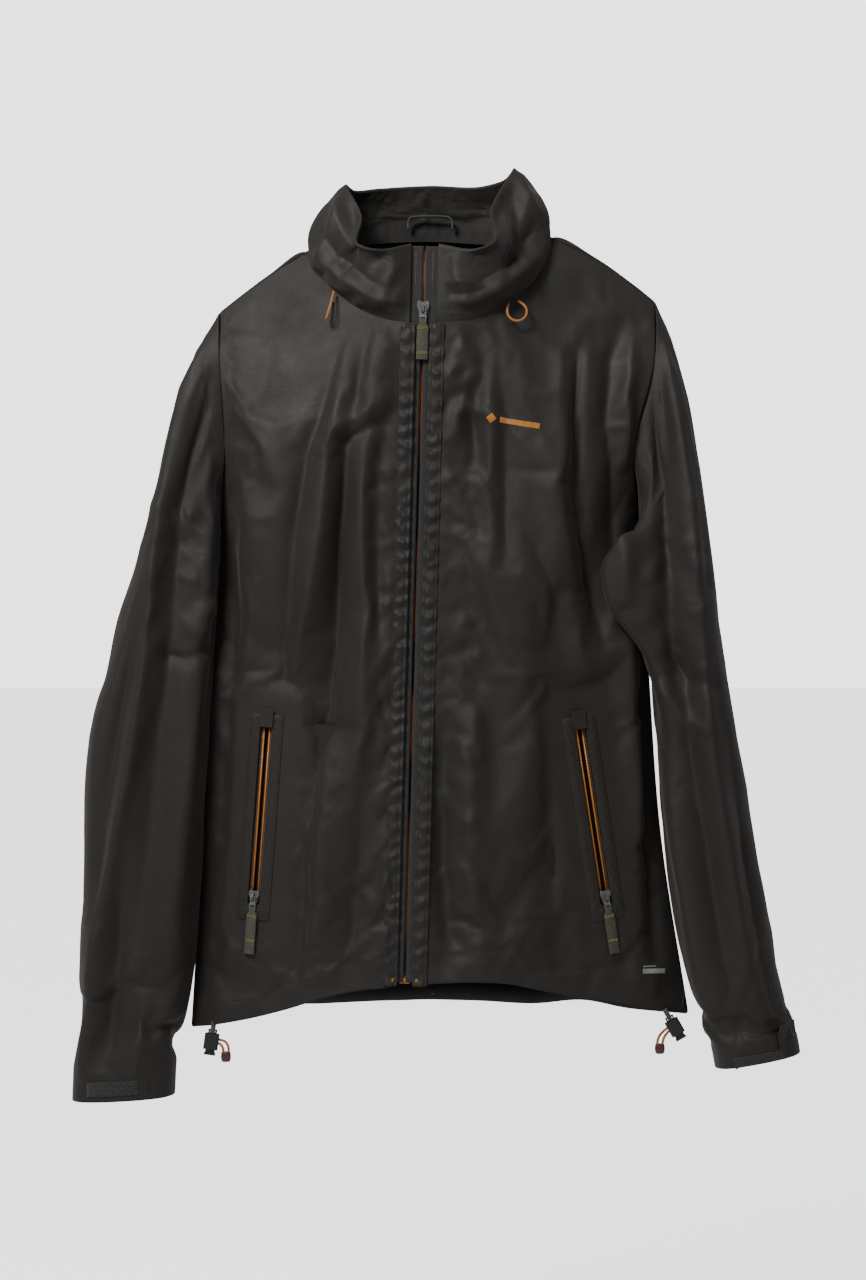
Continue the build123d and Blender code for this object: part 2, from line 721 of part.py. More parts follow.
def cuff_tab(side):
    """The tab lies on its flat of the cuff, its free end with cut corners."""
    seat, along, out = cuff_hinge(side)
    plane = Plane(origin=seat, x_dir=along, z_dir=out)
    half = CUFF_TAB_HEIGHT / 2
    cut = 6.0
    outline = Polyline(
        (0, -half),
        (CUFF_TAB_WIDTH - cut, -half),
        (CUFF_TAB_WIDTH, -half + cut),
        (CUFF_TAB_WIDTH, half - cut),
        (CUFF_TAB_WIDTH - cut, half),
        (0, half),
        (0, -half),
    )
    tab = extrude(make_face(outline), CUFF_TAB / 2, both=True)
    return plane.location * tab


# ---------------------------------------------------------------- cords and their fittings
def corner_radii(points):
    """The largest arc at each corner: 0.45 of the shorter run over the tangent of half the turn."""
    radii = []
    for a, b, c in zip(points, points[1:], points[2:]):
        first = Vector(b) - Vector(a)
        second = Vector(c) - Vector(b)
        half = radians(first.get_angle(second)) / 2
        radii.append(0.45 * min(first.length, second.length) * cos(half) / sin(half))
    return radii


def cord(name, points, diameter):
    radii = corner_radii(points)
    path = FilletPolyline(*points, radius=radii)
    section = Plane(origin=path @ 0, z_dir=path % 0) * Circle(diameter / 2)
    tube = sweep(section, path=path)
    share = tube.volume / (path.length * section.area)
    print(name, "length", round(path.length, 1), "volume share", round(share, 4))
    print(name, "radii", [round(r, 1) for r in radii])
    return tube


# the locks hang just below the hem; each bead's place is counted from its lock
HEM_LOCKS = {
    -1: {"at": Vector(-197, -58, HEM_FRONT_Z - 56), "turn": 8.0, "bead": Vector(13.5, -4, -11)},
    1: {"at": Vector(221, -52, HEM_FRONT_Z - 44), "turn": -30.0, "bead": Vector(-14, -6, -16)},
}


def lock_place(side):
    lock = HEM_LOCKS[side]
    return Pos(lock["at"]) * Rot(0, lock["turn"], 0)


def lock_body(side):
    """A barrel with a bore from below for the spring and button, and a window for the cord."""
    body = fillet(Box(LOCK_WIDTH, LOCK_DEPTH, LOCK_HEIGHT).edges().filter_by(Axis.Z), 2.0)
    bore = Pos(0, 0, -2) * Box(9.0, 5.0, LOCK_HEIGHT)
    window = Pos(0, 0, 1.0) * Box(LOCK_WIDTH + 2, 3.4, 6.4)
    ears = Pos(0, 0, LOCK_HEIGHT / 2 + 2.0) * (Box(8, 2.4, 4.0) - Box(5, 4, 2.0))
    return lock_place(side) * (body - bore - window + ears)


def lock_button(side):
    """The button slides up the bore. Its window lines up with the body's when it is pressed."""
    low = -LOCK_HEIGHT / 2 - BUTTON_TRAVEL
    stem = slab(8.6, -2.3, 2.3, low - 0.5, 1.6)
    window = slab(12, -1.6, 1.6, -2.0 - BUTTON_TRAVEL, 0.4)
    cap_top = low - 0.3
    cap = slab(10, -3, 3, cap_top - 1.8, cap_top)
    return lock_place(side) * (stem - window + cap)


def lock_spring(side):
    """The spring's envelope, between the button's top and the bore's end."""
    return lock_place(side) * (Pos(0, 0, 3.3) * Cylinder(1.9, 2.8))


def anchor_tab(side):
    """The small tab that ties the lock to the inside of the hem: it is folded through the lock's ear."""
    place = lock_place(side) * Pos(0, 0, LOCK_HEIGHT / 2 + 2.0)
    web = block(-2.3, 2.3, -2.0, 2.0, -0.6, 0.6)
    web += block(-2.3, 2.3, -2.0, -1.4, -0.6, 3.0)
    web += block(-2.3, 2.3, 1.4, 2.0, -0.6, 3.0)
    web += block(-2.3, 2.3, -2.0, 2.0, 2.4, 3.4)
    web += block(-2.3, 2.3, -0.8, 2.0, 3.0, ANCHOR_LENGTH)
    return place * web


def bead(side):
    """The cord's end piece: its two strands go up into one pocket."""
    deep = CORD + 0.8
    wide = 2 * CORD + 3.0
    middle = HEM_LOCKS[side]["at"] + HEM_LOCKS[side]["bead"]
    shell = Box(wide + 1.6, deep + 3.2, 10.0) - Pos(0, 0, 2.0) * Box(wide, deep, 10.0)
    return Pos(middle - Vector(0, 0, 2)) * shell


# out of the lock's window, down into the bead and back, counted from the lock; hand-set
HEM_LOOP = {
    -1: [
        (7.0, 0.0, 1.5),
        (10.6, -1.0, 1.2),
        (14.2, -2.8, -0.9),
        (16.1, -4.0, -5.4),
        (15.7, -4.0, -10.6),
        (13.5, -4.0, -13.0),
        (11.2, -4.0, -10.4),
        (11.1, -3.6, -6.4),
        (9.6, -1.8, -3.2),
        (6.6, 0.0, -1.5),
    ],
    1: [
        (-7.1, 0.0, -1.3),
        (-10.7, -1.4, -3.6),
        (-14.1, -3.8, -7.0),
        (-16.2, -5.6, -11.6),
        (-16.3, -6.0, -16.2),
        (-14.0, -6.0, -18.4),
        (-11.7, -6.0, -16.0),
        (-11.4, -5.8, -12.0),
        (-9.4, -2.6, -7.4),
        (-5.6, 0.0, -3.9),
    ],
}

# the limp loops sewn into the collar's front seam
COLLAR_LOOP = {
    -1: [
        (-86.5, -63.8, -78.5),
        (-87.6, -71.6, -85.0),
        (-89.0, -76.0, -92.6),
        (-90.6, -79.0, -99.2),
        (-92.2, -78.6, -103.6),
        (-92.8, -75.0, -104.4),
        (-91.6, -71.5, -99.6),
        (-89.8, -68.8, -92.4),
        (-88.2, -63.2, -85.6),
    ],
    1: [
        (70.5, -70.8, -90.5),
        (68.2, -78.6, -97.0),
        (70.6, -80.6, -104.0),
        (77.4, -81.2, -107.6),
        (84.4, -79.6, -104.6),
        (87.2, -76.6, -98.0),
        (84.6, -74.0, -91.4),
        (79.4, -67.8, -87.5),
    ],
}


def hem_loop(side):
    return [HEM_LOCKS[side]["at"] + Vector(p) for p in HEM_LOOP[side]]


def hem_cord():
    """The drawcord in the hem's channel, from beside the zip round the back to beside the zip."""
    right = front_net(-1)[-1][1:]
    left = front_net(1)[-1][1:]
    back = back_net()[-1][1:-1]
    line = right + back + left[::-1]
    inside = [toward(p, body_core(p), CLOTH + CORD / 2 + 2.4) for p in line]
    return [p + Vector(0, 0, HEM_CHANNEL) for p in inside]


# ---------------------------------------------------------------- small trim
def hang_loop():
    """A band across the back neck that the hook lifts. Its top is the origin."""
    half = HANG_WIDTH / 2
    reach = HANG_BAND / 2
    loop = block(-half, half, -reach, reach, -HANG_DROP, 0)
    loop -= block(-half + HANG, half - HANG, -reach - 1, reach + 1, -HANG_DROP + HANG, -HANG)
    feet = block(-half, half, -reach, reach + 0.2, -HANG_DROP, -HANG_DROP + HANG)
    return loop + feet


def neck_label():
    """A blank patch inside the back neck, below the loop."""
    top = Vector(0, NECK_BACK_Y, -14.0)
    low = Vector(0, BACK_Y, ARM_TOP_Z)
    out = Vector(0, -1, 0)
    plane = plane_on(top + (low - top) * 0.28, top - low, out)
    return plane.location * block(-17, 17, -11, 11, CLOTH + 1.7, CLOTH + 2.2)


def chest_mark():
    """A plain bar on the wearer's left chest, falling a little towards the arm."""
    low = Vector(*rib_at(1, CHEST_Z))
    high = Vector(*rib_at(1, ARM_TOP_Z))
    out = (high - low).cross(Vector(112, -76.0, ARM_TOP_Z) - high) * -1
    corner = (112, -76.0, ARM_TOP_Z)
    at = Vector(*on_plane(tuple(high), tuple(low), corner, CHEST_MARK_X, CHEST_MARK_Z))
    plane = plane_on(at, high - low, out)
    half = CHEST_MARK_HEIGHT / 2
    bar = slab(CHEST_MARK_WIDTH, -half, half, SEAT, SEAT + MARK)
    return plane.location * (Rot(0, 0, -CHEST_MARK_FALL) * bar)


def hem_mark():
    """A small plain patch above the hem, behind the left pocket."""
    side_x = HALF_HEM + HEM_FLARE_LEFT
    across = Vector(side_x - POCKET_OUT_X, SIDE_Y - POCKET_OUT_Y, 0)
    at = Vector(POCKET_OUT_X, POCKET_OUT_Y, HEM_MARK_Z) + across * 0.34
    out = across.cross(Vector(0, 0, 1))
    plane = plane_on(at, Vector(0, 0, 1), out)
    return plane.location * slab(24, -5, 5, SEAT, SEAT + MARK)


save("back_panel", back_panel())
for side, name in ((1, "left"), (-1, "right")):
    save(f"front_panel_{name}", front_panel(side))
    save(f"sleeve_head_{name}", sleeve_head(side))
    save(f"sleeve_{name}", sleeve(side))
    save(f"cuff_loop_strip_{name}", cuff_strip(side))
    save(f"cuff_tab_{name}", cuff_tab(side))
    save(f"hem_lock_body_{name}", lock_body(side))
    save(f"hem_lock_button_{name}", lock_button(side))
    save(f"hem_lock_spring_{name}", lock_spring(side))
    save(f"hem_anchor_tab_{name}", anchor_tab(side))
    save(f"hem_cord_bead_{name}", bead(side))
    save(f"hem_cord_loop_{name}", cord("hem loop", hem_loop(side), CORD))
    save(f"collar_cord_{name}", cord("collar loop", COLLAR_LOOP[side], COLLAR_CORD))
save("collar_outer", collar_layer(0, CLOTH, 0, 0))
lining_edge = TAPE_HALF - PANEL_EDGE + 1.5
save("collar_lining", collar_layer(CLOTH + COLLAR_SPACE, COLLAR_LINING, 2.5, lining_edge))
save("hem_drawcord", cord("hem drawcord", hem_cord(), CORD))
save("hang_loop", hang_loop())
save("neck_label", neck_label())
save("chest_mark", chest_mark())
save("hem_mark", hem_mark())
centre_zip()
centre_pull()
pockets()
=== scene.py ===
# %% [markdown]
# # A hardshell jacket on its hang loop
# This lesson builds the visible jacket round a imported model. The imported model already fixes
# every place and size, and says which pieces move together. Here each plain cloth solid is
# replaced by a thin, folded sheet, and each small fitting gets its moulded, cast or braided
# shape. One unit is a metre. The jacket's front faces -Y, +Z is up and +X is the wearer's left.

# %% Load the fixed frame
import math

import bmesh
import bpy
import numpy as np
from mathutils import Matrix, Vector


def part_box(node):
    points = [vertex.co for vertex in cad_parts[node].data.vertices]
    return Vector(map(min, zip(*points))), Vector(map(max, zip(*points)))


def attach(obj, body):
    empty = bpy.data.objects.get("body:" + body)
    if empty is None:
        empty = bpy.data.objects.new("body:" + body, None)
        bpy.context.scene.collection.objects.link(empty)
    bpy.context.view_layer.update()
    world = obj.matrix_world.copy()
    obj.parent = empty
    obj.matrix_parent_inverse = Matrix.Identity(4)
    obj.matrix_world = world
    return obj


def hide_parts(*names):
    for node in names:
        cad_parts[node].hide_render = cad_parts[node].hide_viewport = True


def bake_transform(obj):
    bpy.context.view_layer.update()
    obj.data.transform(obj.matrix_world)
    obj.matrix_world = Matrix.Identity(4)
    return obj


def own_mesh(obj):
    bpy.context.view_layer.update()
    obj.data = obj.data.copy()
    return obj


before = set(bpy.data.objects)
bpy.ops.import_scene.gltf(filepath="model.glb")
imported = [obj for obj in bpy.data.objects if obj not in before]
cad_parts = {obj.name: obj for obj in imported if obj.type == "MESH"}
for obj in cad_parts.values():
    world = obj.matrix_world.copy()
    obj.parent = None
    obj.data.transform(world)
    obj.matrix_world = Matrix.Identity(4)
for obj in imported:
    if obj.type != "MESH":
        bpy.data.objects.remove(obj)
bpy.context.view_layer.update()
MM = 0.001


# %% [markdown]
# ## The camera
# A long lens from chest height keeps the jacket's proportions true, as they are when someone
# stands well back from it. It looks level along +Y, a little below the middle of the body.

# %% Camera
LENS = 75.0
VIEW_DISTANCE = 2.4
LOOK_AT = Vector((0.0027, -0.06, -0.3915))

camera_data = bpy.data.cameras.new("camera")
camera_data.lens = LENS
camera_data.sensor_width = 36.0
camera = bpy.data.objects.new("camera", camera_data)
bpy.context.collection.objects.link(camera)
camera.location = LOOK_AT - Vector((0, VIEW_DISTANCE, 0))
camera.rotation_euler = (math.radians(90), 0, 0)
bpy.context.scene.camera = camera
print("camera at", tuple(round(v, 3) for v in camera.location))


# %% [markdown]
# ## Materials
# Everything here is a procedural material. A small helper starts each one, so that the part
# that differs, such as a weave or a braid, is all that each cell has to say. Patterns use
# object coordinates, because every sheet keeps its real size in metres, and so a thread is
# as wide as a thread.

# %% Helpers for node materials
def start_material(name, roughness, metallic=0.0, sheen=0.0, sheen_tint=(1, 1, 1), coat=0.0):
    material = bpy.data.materials.new(name)
    material.use_nodes = True
    tree = material.node_tree
    shader = tree.nodes["Principled BSDF"]
    shader.inputs["Roughness"].default_value = roughness
    shader.inputs["Metallic"].default_value = metallic
    shader.inputs["Sheen Weight"].default_value = sheen
    shader.inputs["Sheen Tint"].default_value = (*sheen_tint, 1)
    shader.inputs["Sheen Roughness"].default_value = 0.45
    shader.inputs["Coat Weight"].default_value = coat
    return material, tree, shader


def node(tree, kind, links=(), **values):
    """A node with its inputs set by name, each from a number, a colour or another node's output."""
    made = tree.nodes.new(kind)
    for key, value in values.items():
        setattr(made, key, value)
    for socket, source in links:
        if isinstance(source, bpy.types.NodeSocket):
            tree.links.new(source, made.inputs[socket])
        else:
            made.inputs[socket].default_value = source
    return made


def place_of(tree, scale):
    """Object coordinates times a scale for each axis."""
    coordinates = node(tree, "ShaderNodeTexCoord")
    links = [("Vector", coordinates.outputs["Object"]), ("Scale", scale)]
    return node(tree, "ShaderNodeMapping", links).outputs["Vector"]


def noise(tree, scale, size, detail=3.0, roughness=0.5):
    """Cloudy noise of about this size in metres, stretched by scale."""
    vector = place_of(tree, scale)
    links = [("Vector", vector), ("Scale", 1 / size), ("Detail", detail), ("Roughness", roughness)]
    return node(tree, "ShaderNodeTexNoise", links).outputs["Fac"]


def ramp(tree, fac, *stops):
    made = node(tree, "ShaderNodeValToRGB", [("Fac", fac)])
    elements = made.color_ramp.elements
    while len(elements) < len(stops):
        elements.new(0.5)
    for element, (at, colour) in zip(elements, stops):
        element.position = at
        element.color = (*colour, 1)
    return made.outputs["Color"]


def mixed(tree, fac, a, b, blend="MIX"):
    made = node(tree, "ShaderNodeMix", data_type="RGBA", blend_type=blend)
    for socket, value in ((made.inputs[0], fac), (made.inputs[6], a), (made.inputs[7], b)):
        if isinstance(value, bpy.types.NodeSocket):
            tree.links.new(value, socket)
        elif isinstance(value, tuple):
            socket.default_value = (*value, 1)
        else:
            socket.default_value = value
    return made.outputs[2]


def sums(tree, operation, a, b):
    made = node(tree, "ShaderNodeMath", operation=operation)
    for socket, value in zip(made.inputs, (a, b)):
        if isinstance(value, bpy.types.NodeSocket):
            tree.links.new(value, socket)
        else:
            socket.default_value = value
    return made.outputs[0]


def ribs(tree, axis, pitch):
    """Rounded threads, one for each pitch in metres along one axis."""
    vector = place_of(tree, (1, 1, 1))
    part = node(tree, "ShaderNodeSeparateXYZ", [("Vector", vector)]).outputs[axis]
    turn = sums(tree, "MULTIPLY", part, 2 * math.pi / pitch)
    return sums(tree, "SINE", turn, 0.0)


def set_bump(tree, shader, height, strength, distance):
    links = [("Height", height), ("Strength", strength), ("Distance", distance)]
    bump = node(tree, "ShaderNodeBump", links)
    tree.links.new(bump.outputs["Normal"], shader.inputs["Normal"])


def set_colour(tree, shader, colour):
    tree.links.new(colour, shader.inputs["Base Color"])


# %% [markdown]
# ### Shell cloth
# The face cloth is a tight satin-like weave: its threads are far finer than a millimetre and
# only show as a soft broken gloss. So the bump is two crossed rows of threads with slow noise
# over them, the colour drifts a little between olive grey and brown, and a brown sheen
# catches the edges of the folds. Rubbed places are slightly lighter and rougher.

# %% Shell and backer
def woven(name, dark, light, warm, roughness, pitch, sheen, sheen_tint, rough_swing=0.1, bump=0.22):
    material, tree, shader = start_material(name, roughness, sheen=sheen, sheen_tint=sheen_tint)
    drift = noise(tree, (1, 1, 0.5), 0.16, detail=2.0)
    base = ramp(tree, drift, (0.3, dark), (0.7, light))
    mottle = noise(tree, (1, 1, 1), 0.028, detail=4.0, roughness=0.6)
    base = mixed(tree, ramp(tree, mottle, (0.42, (0, 0, 0)), (0.75, (0.6, 0.6, 0.6))), base, warm)
    fleck = noise(tree, (1, 1, 1), 0.0011, detail=1.0)
    base = mixed(tree, 0.35, base, ramp(tree, fleck, (0.35, dark), (0.65, light)), "MIX")
    set_colour(tree, shader, base)
    rubbed = noise(tree, (1, 1, 1), 0.05, detail=5.0, roughness=0.65)
    low, high = roughness - rough_swing, roughness + rough_swing
    tree.links.new(ramp(tree, rubbed, (0.3, (low,) * 3), (0.7, (high,) * 3)), shader.inputs["Roughness"])
    across = sums(tree, "ADD", ribs(tree, "X", pitch), ribs(tree, "Y", pitch))
    threads = sums(tree, "ADD", across, ribs(tree, "Z", pitch * 0.85))
    grain = noise(tree, (1, 1, 1), 0.006, detail=6.0, roughness=0.7)
    height = sums(tree, "ADD", sums(tree, "MULTIPLY", threads, 0.08), sums(tree, "MULTIPLY", grain, 1.6))
    set_bump(tree, shader, height, bump, 0.0012)
    shader.inputs["Specular IOR Level"].default_value = 0.33
    return material


SHELL = woven(
    "shell cloth",
    dark=(0.0140, 0.0124, 0.0104),
    light=(0.0250, 0.0226, 0.0190),
    warm=(0.0330, 0.0215, 0.0165),
    roughness=0.60,
    pitch=0.0007,
    sheen=0.14,
    sheen_tint=(0.75, 0.62, 0.55),
)
BACKER = woven(
    "inner face",
    dark=(0.010, 0.009, 0.008),
    light=(0.015, 0.013, 0.011),
    warm=(0.014, 0.010, 0.008),
    roughness=0.7,
    pitch=0.0009,
    sheen=0.1,
    sheen_tint=(0.8, 0.7, 0.6),
)
print("shell and backer are ready")


# %% [markdown]
# ### Tapes, ribbon, thread and cord
# A tape is woven in ribs across its length. The pull ribbon has coarser ribs. The cord is a
# braid: two sets of slanted strands, which a pair of sine waves at a slant gives. Its colour
# is darker where the braid's surface is low, as painted shade in the grooves between strands.

# %% Narrow textiles
def ribbed(name, colour, light, pitch, axis, roughness=0.6, sheen=0.15):
    material, tree, shader = start_material(name, roughness, sheen=sheen)
    rib = ribs(tree, axis, pitch)
    cloud = noise(tree, (1, 1, 1), 0.004, detail=4.0)
    share = ramp(tree, cloud, (0.3, (0, 0, 0)), (0.7, (1, 1, 1)))
    set_colour(tree, shader, mixed(tree, share, colour, light))
    height = sums(tree, "ADD", rib, sums(tree, "MULTIPLY", cloud, 0.6))
    set_bump(tree, shader, height, 0.5, 0.0003)
    return material


def braided(name, colour, dark, pitch):
    material, tree, shader = start_material(name, 0.55, sheen=0.25)
    vector = place_of(tree, (1, 1, 1))
    parts = node(tree, "ShaderNodeSeparateXYZ", [("Vector", vector)])
    slant = sums(tree, "ADD", parts.outputs["X"], parts.outputs["Z"])
    other = sums(tree, "SUBTRACT", parts.outputs["Y"], parts.outputs["Z"])
    one = sums(tree, "SINE", sums(tree, "MULTIPLY", slant, 2 * math.pi / pitch), 0.0)
    two = sums(tree, "SINE", sums(tree, "MULTIPLY", other, 2 * math.pi / pitch), 0.0)
    weave = sums(tree, "MULTIPLY", one, two)
    half = sums(tree, "MULTIPLY_ADD", weave, 0.5)
    # Darker where the braid's surface is low: painted shade in the grooves between strands.
    set_colour(tree, shader, mixed(tree, half, dark, colour))
    set_bump(tree, shader, weave, 0.6, 0.0004)
    return material


TAPE = ribbed("zip tape", (0.010, 0.009, 0.008), (0.018, 0.016, 0.014), 0.0009, "Z")
RIBBON = ribbed("pull ribbon", (0.040, 0.037, 0.022), (0.065, 0.060, 0.038), 0.0011, "Z", roughness=0.65)
LOOP_TAPE = ribbed("loop tape", (0.05, 0.046, 0.04), (0.075, 0.07, 0.06), 0.0012, "X")
LABEL = ribbed("blank label", (0.055, 0.05, 0.045), (0.085, 0.08, 0.07), 0.0007, "Z")
THREAD = ribbed("seam thread", (0.022, 0.021, 0.017), (0.042, 0.040, 0.033), 0.0005, "Z")
ORANGE_THREAD = ribbed("orange thread", (0.50, 0.20, 0.025), (0.66, 0.30, 0.05), 0.0005, "Z")
STITCH_BAR = ribbed("stitch bar", (0.30, 0.27, 0.05), (0.42, 0.39, 0.10), 0.0005, "X")
CHEST_MARK = ribbed("chest mark", (0.40, 0.155, 0.014), (0.56, 0.24, 0.025), 0.0006, "X", roughness=0.5)
HEM_MARK = ribbed("hem mark", (0.20, 0.20, 0.19), (0.32, 0.32, 0.30), 0.0006, "X")
CORD = braided("cord braid", (0.58, 0.215, 0.03), (0.30, 0.09, 0.015), 0.0011)
print("narrow textiles are ready")


# %% [markdown]
# ### Loop pile, plastics and metal
# The cuff's soft strip is a mat of tiny loops: a fine Voronoi pattern stands in for them in
# height and colour. Moulded plastic gets a faint spark-eroded grain and rubbed, paler edges;
# the enamelled sliders get orange-peel and small worn marks where bare zinc shows through.

# %% Pile, plastic, metal
def pile(name, dark, light):
    material, tree, shader = start_material(name, 0.85, sheen=0.5, sheen_tint=(0.8, 0.75, 0.7))
    links = [("Vector", place_of(tree, (1, 1, 1))), ("Scale", 900.0), ("Randomness", 1.0)]
    cells = node(tree, "ShaderNodeTexVoronoi", links).outputs["Distance"]
    set_colour(tree, shader, ramp(tree, cells, (0.1, light), (0.6, dark)))
    set_bump(tree, shader, cells, 0.9, 0.0009)
    return material


def plastic(name, colour, worn, roughness, coat=0.0):
    material, tree, shader = start_material(name, roughness, coat=coat)
    grain = noise(tree, (1, 1, 1), 0.0006, detail=3.0)
    scuff = noise(tree, (1, 1, 1), 0.004, detail=5.0, roughness=0.7)
    share = ramp(tree, scuff, (0.52, (0, 0, 0)), (0.72, (1, 1, 1)))
    set_colour(tree, shader, mixed(tree, share, colour, worn))
    rough = ramp(tree, scuff, (0.3, (roughness - 0.08,) * 3), (0.7, (roughness + 0.12,) * 3))
    tree.links.new(rough, shader.inputs["Roughness"])
    set_bump(tree, shader, grain, 0.35, 0.0002)
    return material


def enamel(name, colour, bare):
    material, tree, shader = start_material(name, 0.32, metallic=0.55, coat=0.15)
    peel = noise(tree, (1, 1, 1), 0.0016, detail=2.0)
    worn = noise(tree, (1, 1, 1), 0.003, detail=6.0, roughness=0.75)
    share = ramp(tree, worn, (0.55, (0, 0, 0)), (0.68, (1, 1, 1)))
    set_colour(tree, shader, mixed(tree, share, colour, bare))
    tree.links.new(ramp(tree, worn, (0.3, (0.26,) * 3), (0.7, (0.46,) * 3)), shader.inputs["Roughness"])
    set_bump(tree, shader, peel, 0.2, 0.0002)
    return material


PILE = pile("loop pile", (0.014, 0.013, 0.012), (0.05, 0.046, 0.042))
COIL = plastic("orange coil", (0.55, 0.175, 0.018), (0.68, 0.27, 0.04), 0.38, coat=0.1)
MOULDED = plastic("moulded black", (0.012, 0.012, 0.012), (0.035, 0.034, 0.032), 0.42)
BEAD = plastic("red-brown bead", (0.075, 0.018, 0.011), (0.13, 0.04, 0.025), 0.38, coat=0.2)
ENAMEL = enamel("slider enamel", (0.15, 0.147, 0.14), (0.36, 0.35, 0.33))
SPRING = enamel("spring wire", (0.45, 0.45, 0.45), (0.62, 0.61, 0.60))


def coil_with_painted_shade():
    """The centre coil: orange where the tapes gape, with long dark bands of painted shade for the shade of
    its tapes.
    """
    material, tree, shader = start_material("centre coil", 0.4)
    shade_bands = noise(tree, (0.01, 0.01, 1), 0.11, detail=1.0)
    # The dark stop is painted shade under the tapes; the orange stop is the coil's own colour.
    orange_or_painted_shade = ramp(tree, shade_bands, (0.47, (0.020, 0.014, 0.011)), (0.55, (0.50, 0.13, 0.03)))
    set_colour(tree, shader, orange_or_painted_shade)
    set_bump(tree, shader, noise(tree, (1, 1, 1), 0.0008), 0.3, 0.0002)
    return material


CENTRE_COIL = coil_with_painted_shade()
print("materials", len(bpy.data.materials))


# %% [markdown]
# ## Cloth as patches
# A jacket is cut from flat panels and sewn. A free-hand sculpt could make each one, but then
# the seams would not meet. Here every panel is a smooth patch through a small net of points,
# in millimetres, and two panels that share a seam share its points. Folds are then pressed
# into the patch along its own normals, and fade out towards the sewn edges.

# %% Patches through a net of points
def eased(t):
    t = np.clip(t, 0, 1)
    return t * t * (3 - 2 * t)


def spline(knots, values, at):
    """A smooth curve through values at knots, read at the places in at. Works on the first axis."""
    knots, values = np.asarray(knots, float), np.asarray(values, float)
    slopes = np.gradient(values, knots, axis=0)
    index = np.clip(np.searchsorted(knots, at, side="right") - 1, 0, len(knots) - 2)
    span = knots[index + 1] - knots[index]
    t = (at - knots[index]) / span
    shape = (-1,) + (1,) * (values.ndim - 1)
    t, span = t.reshape(shape), span.reshape(shape)
    start, end = values[index], values[index + 1]
    out, into = slopes[index] * span, slopes[index + 1] * span
    hermite = (2 * t**3 - 3 * t**2 + 1) * start + (t**3 - 2 * t**2 + t) * out
    return hermite + (3 * t**2 - 2 * t**3) * end + (t**3 - t**2) * into


def patch(net, across, down, row_knots=None, column_knots=None):
    """A grid of points over a net. Rows run down and columns across."""
    net = np.array([[tuple(p) for p in row] for row in net], float)
    rows = np.linspace(0, 1, len(net)) if row_knots is None else np.array(row_knots, float)
    if column_knots is None:
        steps = np.linalg.norm(np.diff(net, axis=1), axis=2).mean(axis=0)
        column_knots = np.concatenate([[0], np.cumsum(steps)]) / steps.sum()
    tall = spline(rows, net, np.linspace(0, 1, down + 1))
    wide = spline(column_knots, tall.transpose(1, 0, 2), np.linspace(0, 1, across + 1))
    return wide.transpose(1, 0, 2)


def tube(rings, around, down, row_knots=None):
    """A grid over closed rings of points, the last column the same as the first."""
    closed = [list(r[-2:]) + list(r) + list(r[:3]) for r in rings]
    count = len(rings[0])
    knots = (np.arange(count + 5) - 2) / count
    net = np.array([[tuple(p) for p in row] for row in closed], float)
    rows = np.linspace(0, 1, len(net)) if row_knots is None else np.array(row_knots, float)
    tall = spline(rows, net, np.linspace(0, 1, down + 1))
    wide = spline(knots, tall.transpose(1, 0, 2), np.arange(around) / around)
    return wide.transpose(1, 0, 2)


def normals_of(grid, closed=False):
    if closed:
        across = np.roll(grid, -1, axis=1) - np.roll(grid, 1, axis=1)
    else:
        across = np.gradient(grid, axis=1)
    down = np.gradient(grid, axis=0)
    normal = np.cross(across, down)
    return normal / np.maximum(np.linalg.norm(normal, axis=2, keepdims=True), 1e-9)


def crease_heights(places, creases):
    """The height of each crease (line, height, width, power) at places, x and z in millimetres."""
    total = np.zeros(len(places))
    for line, height, width, power in creases:
        line = np.array(line, float)
        steps = np.diff(line, axis=0)
        lengths = np.linalg.norm(steps, axis=1)
        runs = np.concatenate([[0], np.cumsum(lengths)])
        best = np.full(len(places), 1e6)
        along = np.zeros(len(places))
        for start, step, length, run in zip(line, steps, lengths, runs):
            t = np.clip((places - start) @ step / length**2, 0, 1)
            gap = np.linalg.norm(places - start - t[:, None] * step, axis=1)
            nearer = gap < best
            best = np.where(nearer, gap, best)
            along = np.where(nearer, run + t * length, along)
        fade = np.sin(np.pi * np.clip(along / runs[-1], 0, 1)) ** 0.6
        total += height * fade * np.exp(-((best / width) ** power))
    return total


def crumples(seed, count, box, length, width, height, lean=(60, 120)):
    """Small creases strewn over a box (x from, x to, z from, z to), leaning between two angles."""
    rng = np.random.default_rng(seed)
    creases = []
    for _ in range(count):
        x, z = rng.uniform(box[0], box[1]), rng.uniform(box[2], box[3])
        angle = math.radians(rng.uniform(*lean))
        half = 0.5 * rng.uniform(0.6, 1.4) * length
        step = np.array([math.cos(angle), math.sin(angle)]) * half
        bow = np.array([-step[1], step[0]]) * rng.uniform(-0.25, 0.25)
        middle = np.array([x, z])
        line = [middle - step, middle + bow, middle + step]
        size = height * rng.uniform(0.4, 1.0) * rng.choice([-1, 1])
        creases.append((line, size, width * rng.uniform(0.6, 1.4), rng.uniform(1.1, 1.8)))
    return creases


def crease_field(grid, creases, mask):
    """The creases' height at every point of the grid, faded by the mask."""
    places = grid[:, :, [0, 2]].reshape(-1, 2)
    return crease_heights(places, creases).reshape(mask.shape) * mask


def edge_mask(rows, columns, top=0, bottom=0, start=0, end=0):
    """1 inside, falling to 0 over this many cells at each edge that is sewn."""
    mask = np.ones((rows, columns))
    down, across = np.arange(rows)[:, None], np.arange(columns)[None, :]
    borders = ((top, down), (bottom, rows - 1 - down), (start, across), (end, columns - 1 - across))
    for cells, distance in borders:
        if cells:
            mask = mask * eased(distance / cells)
    return mask


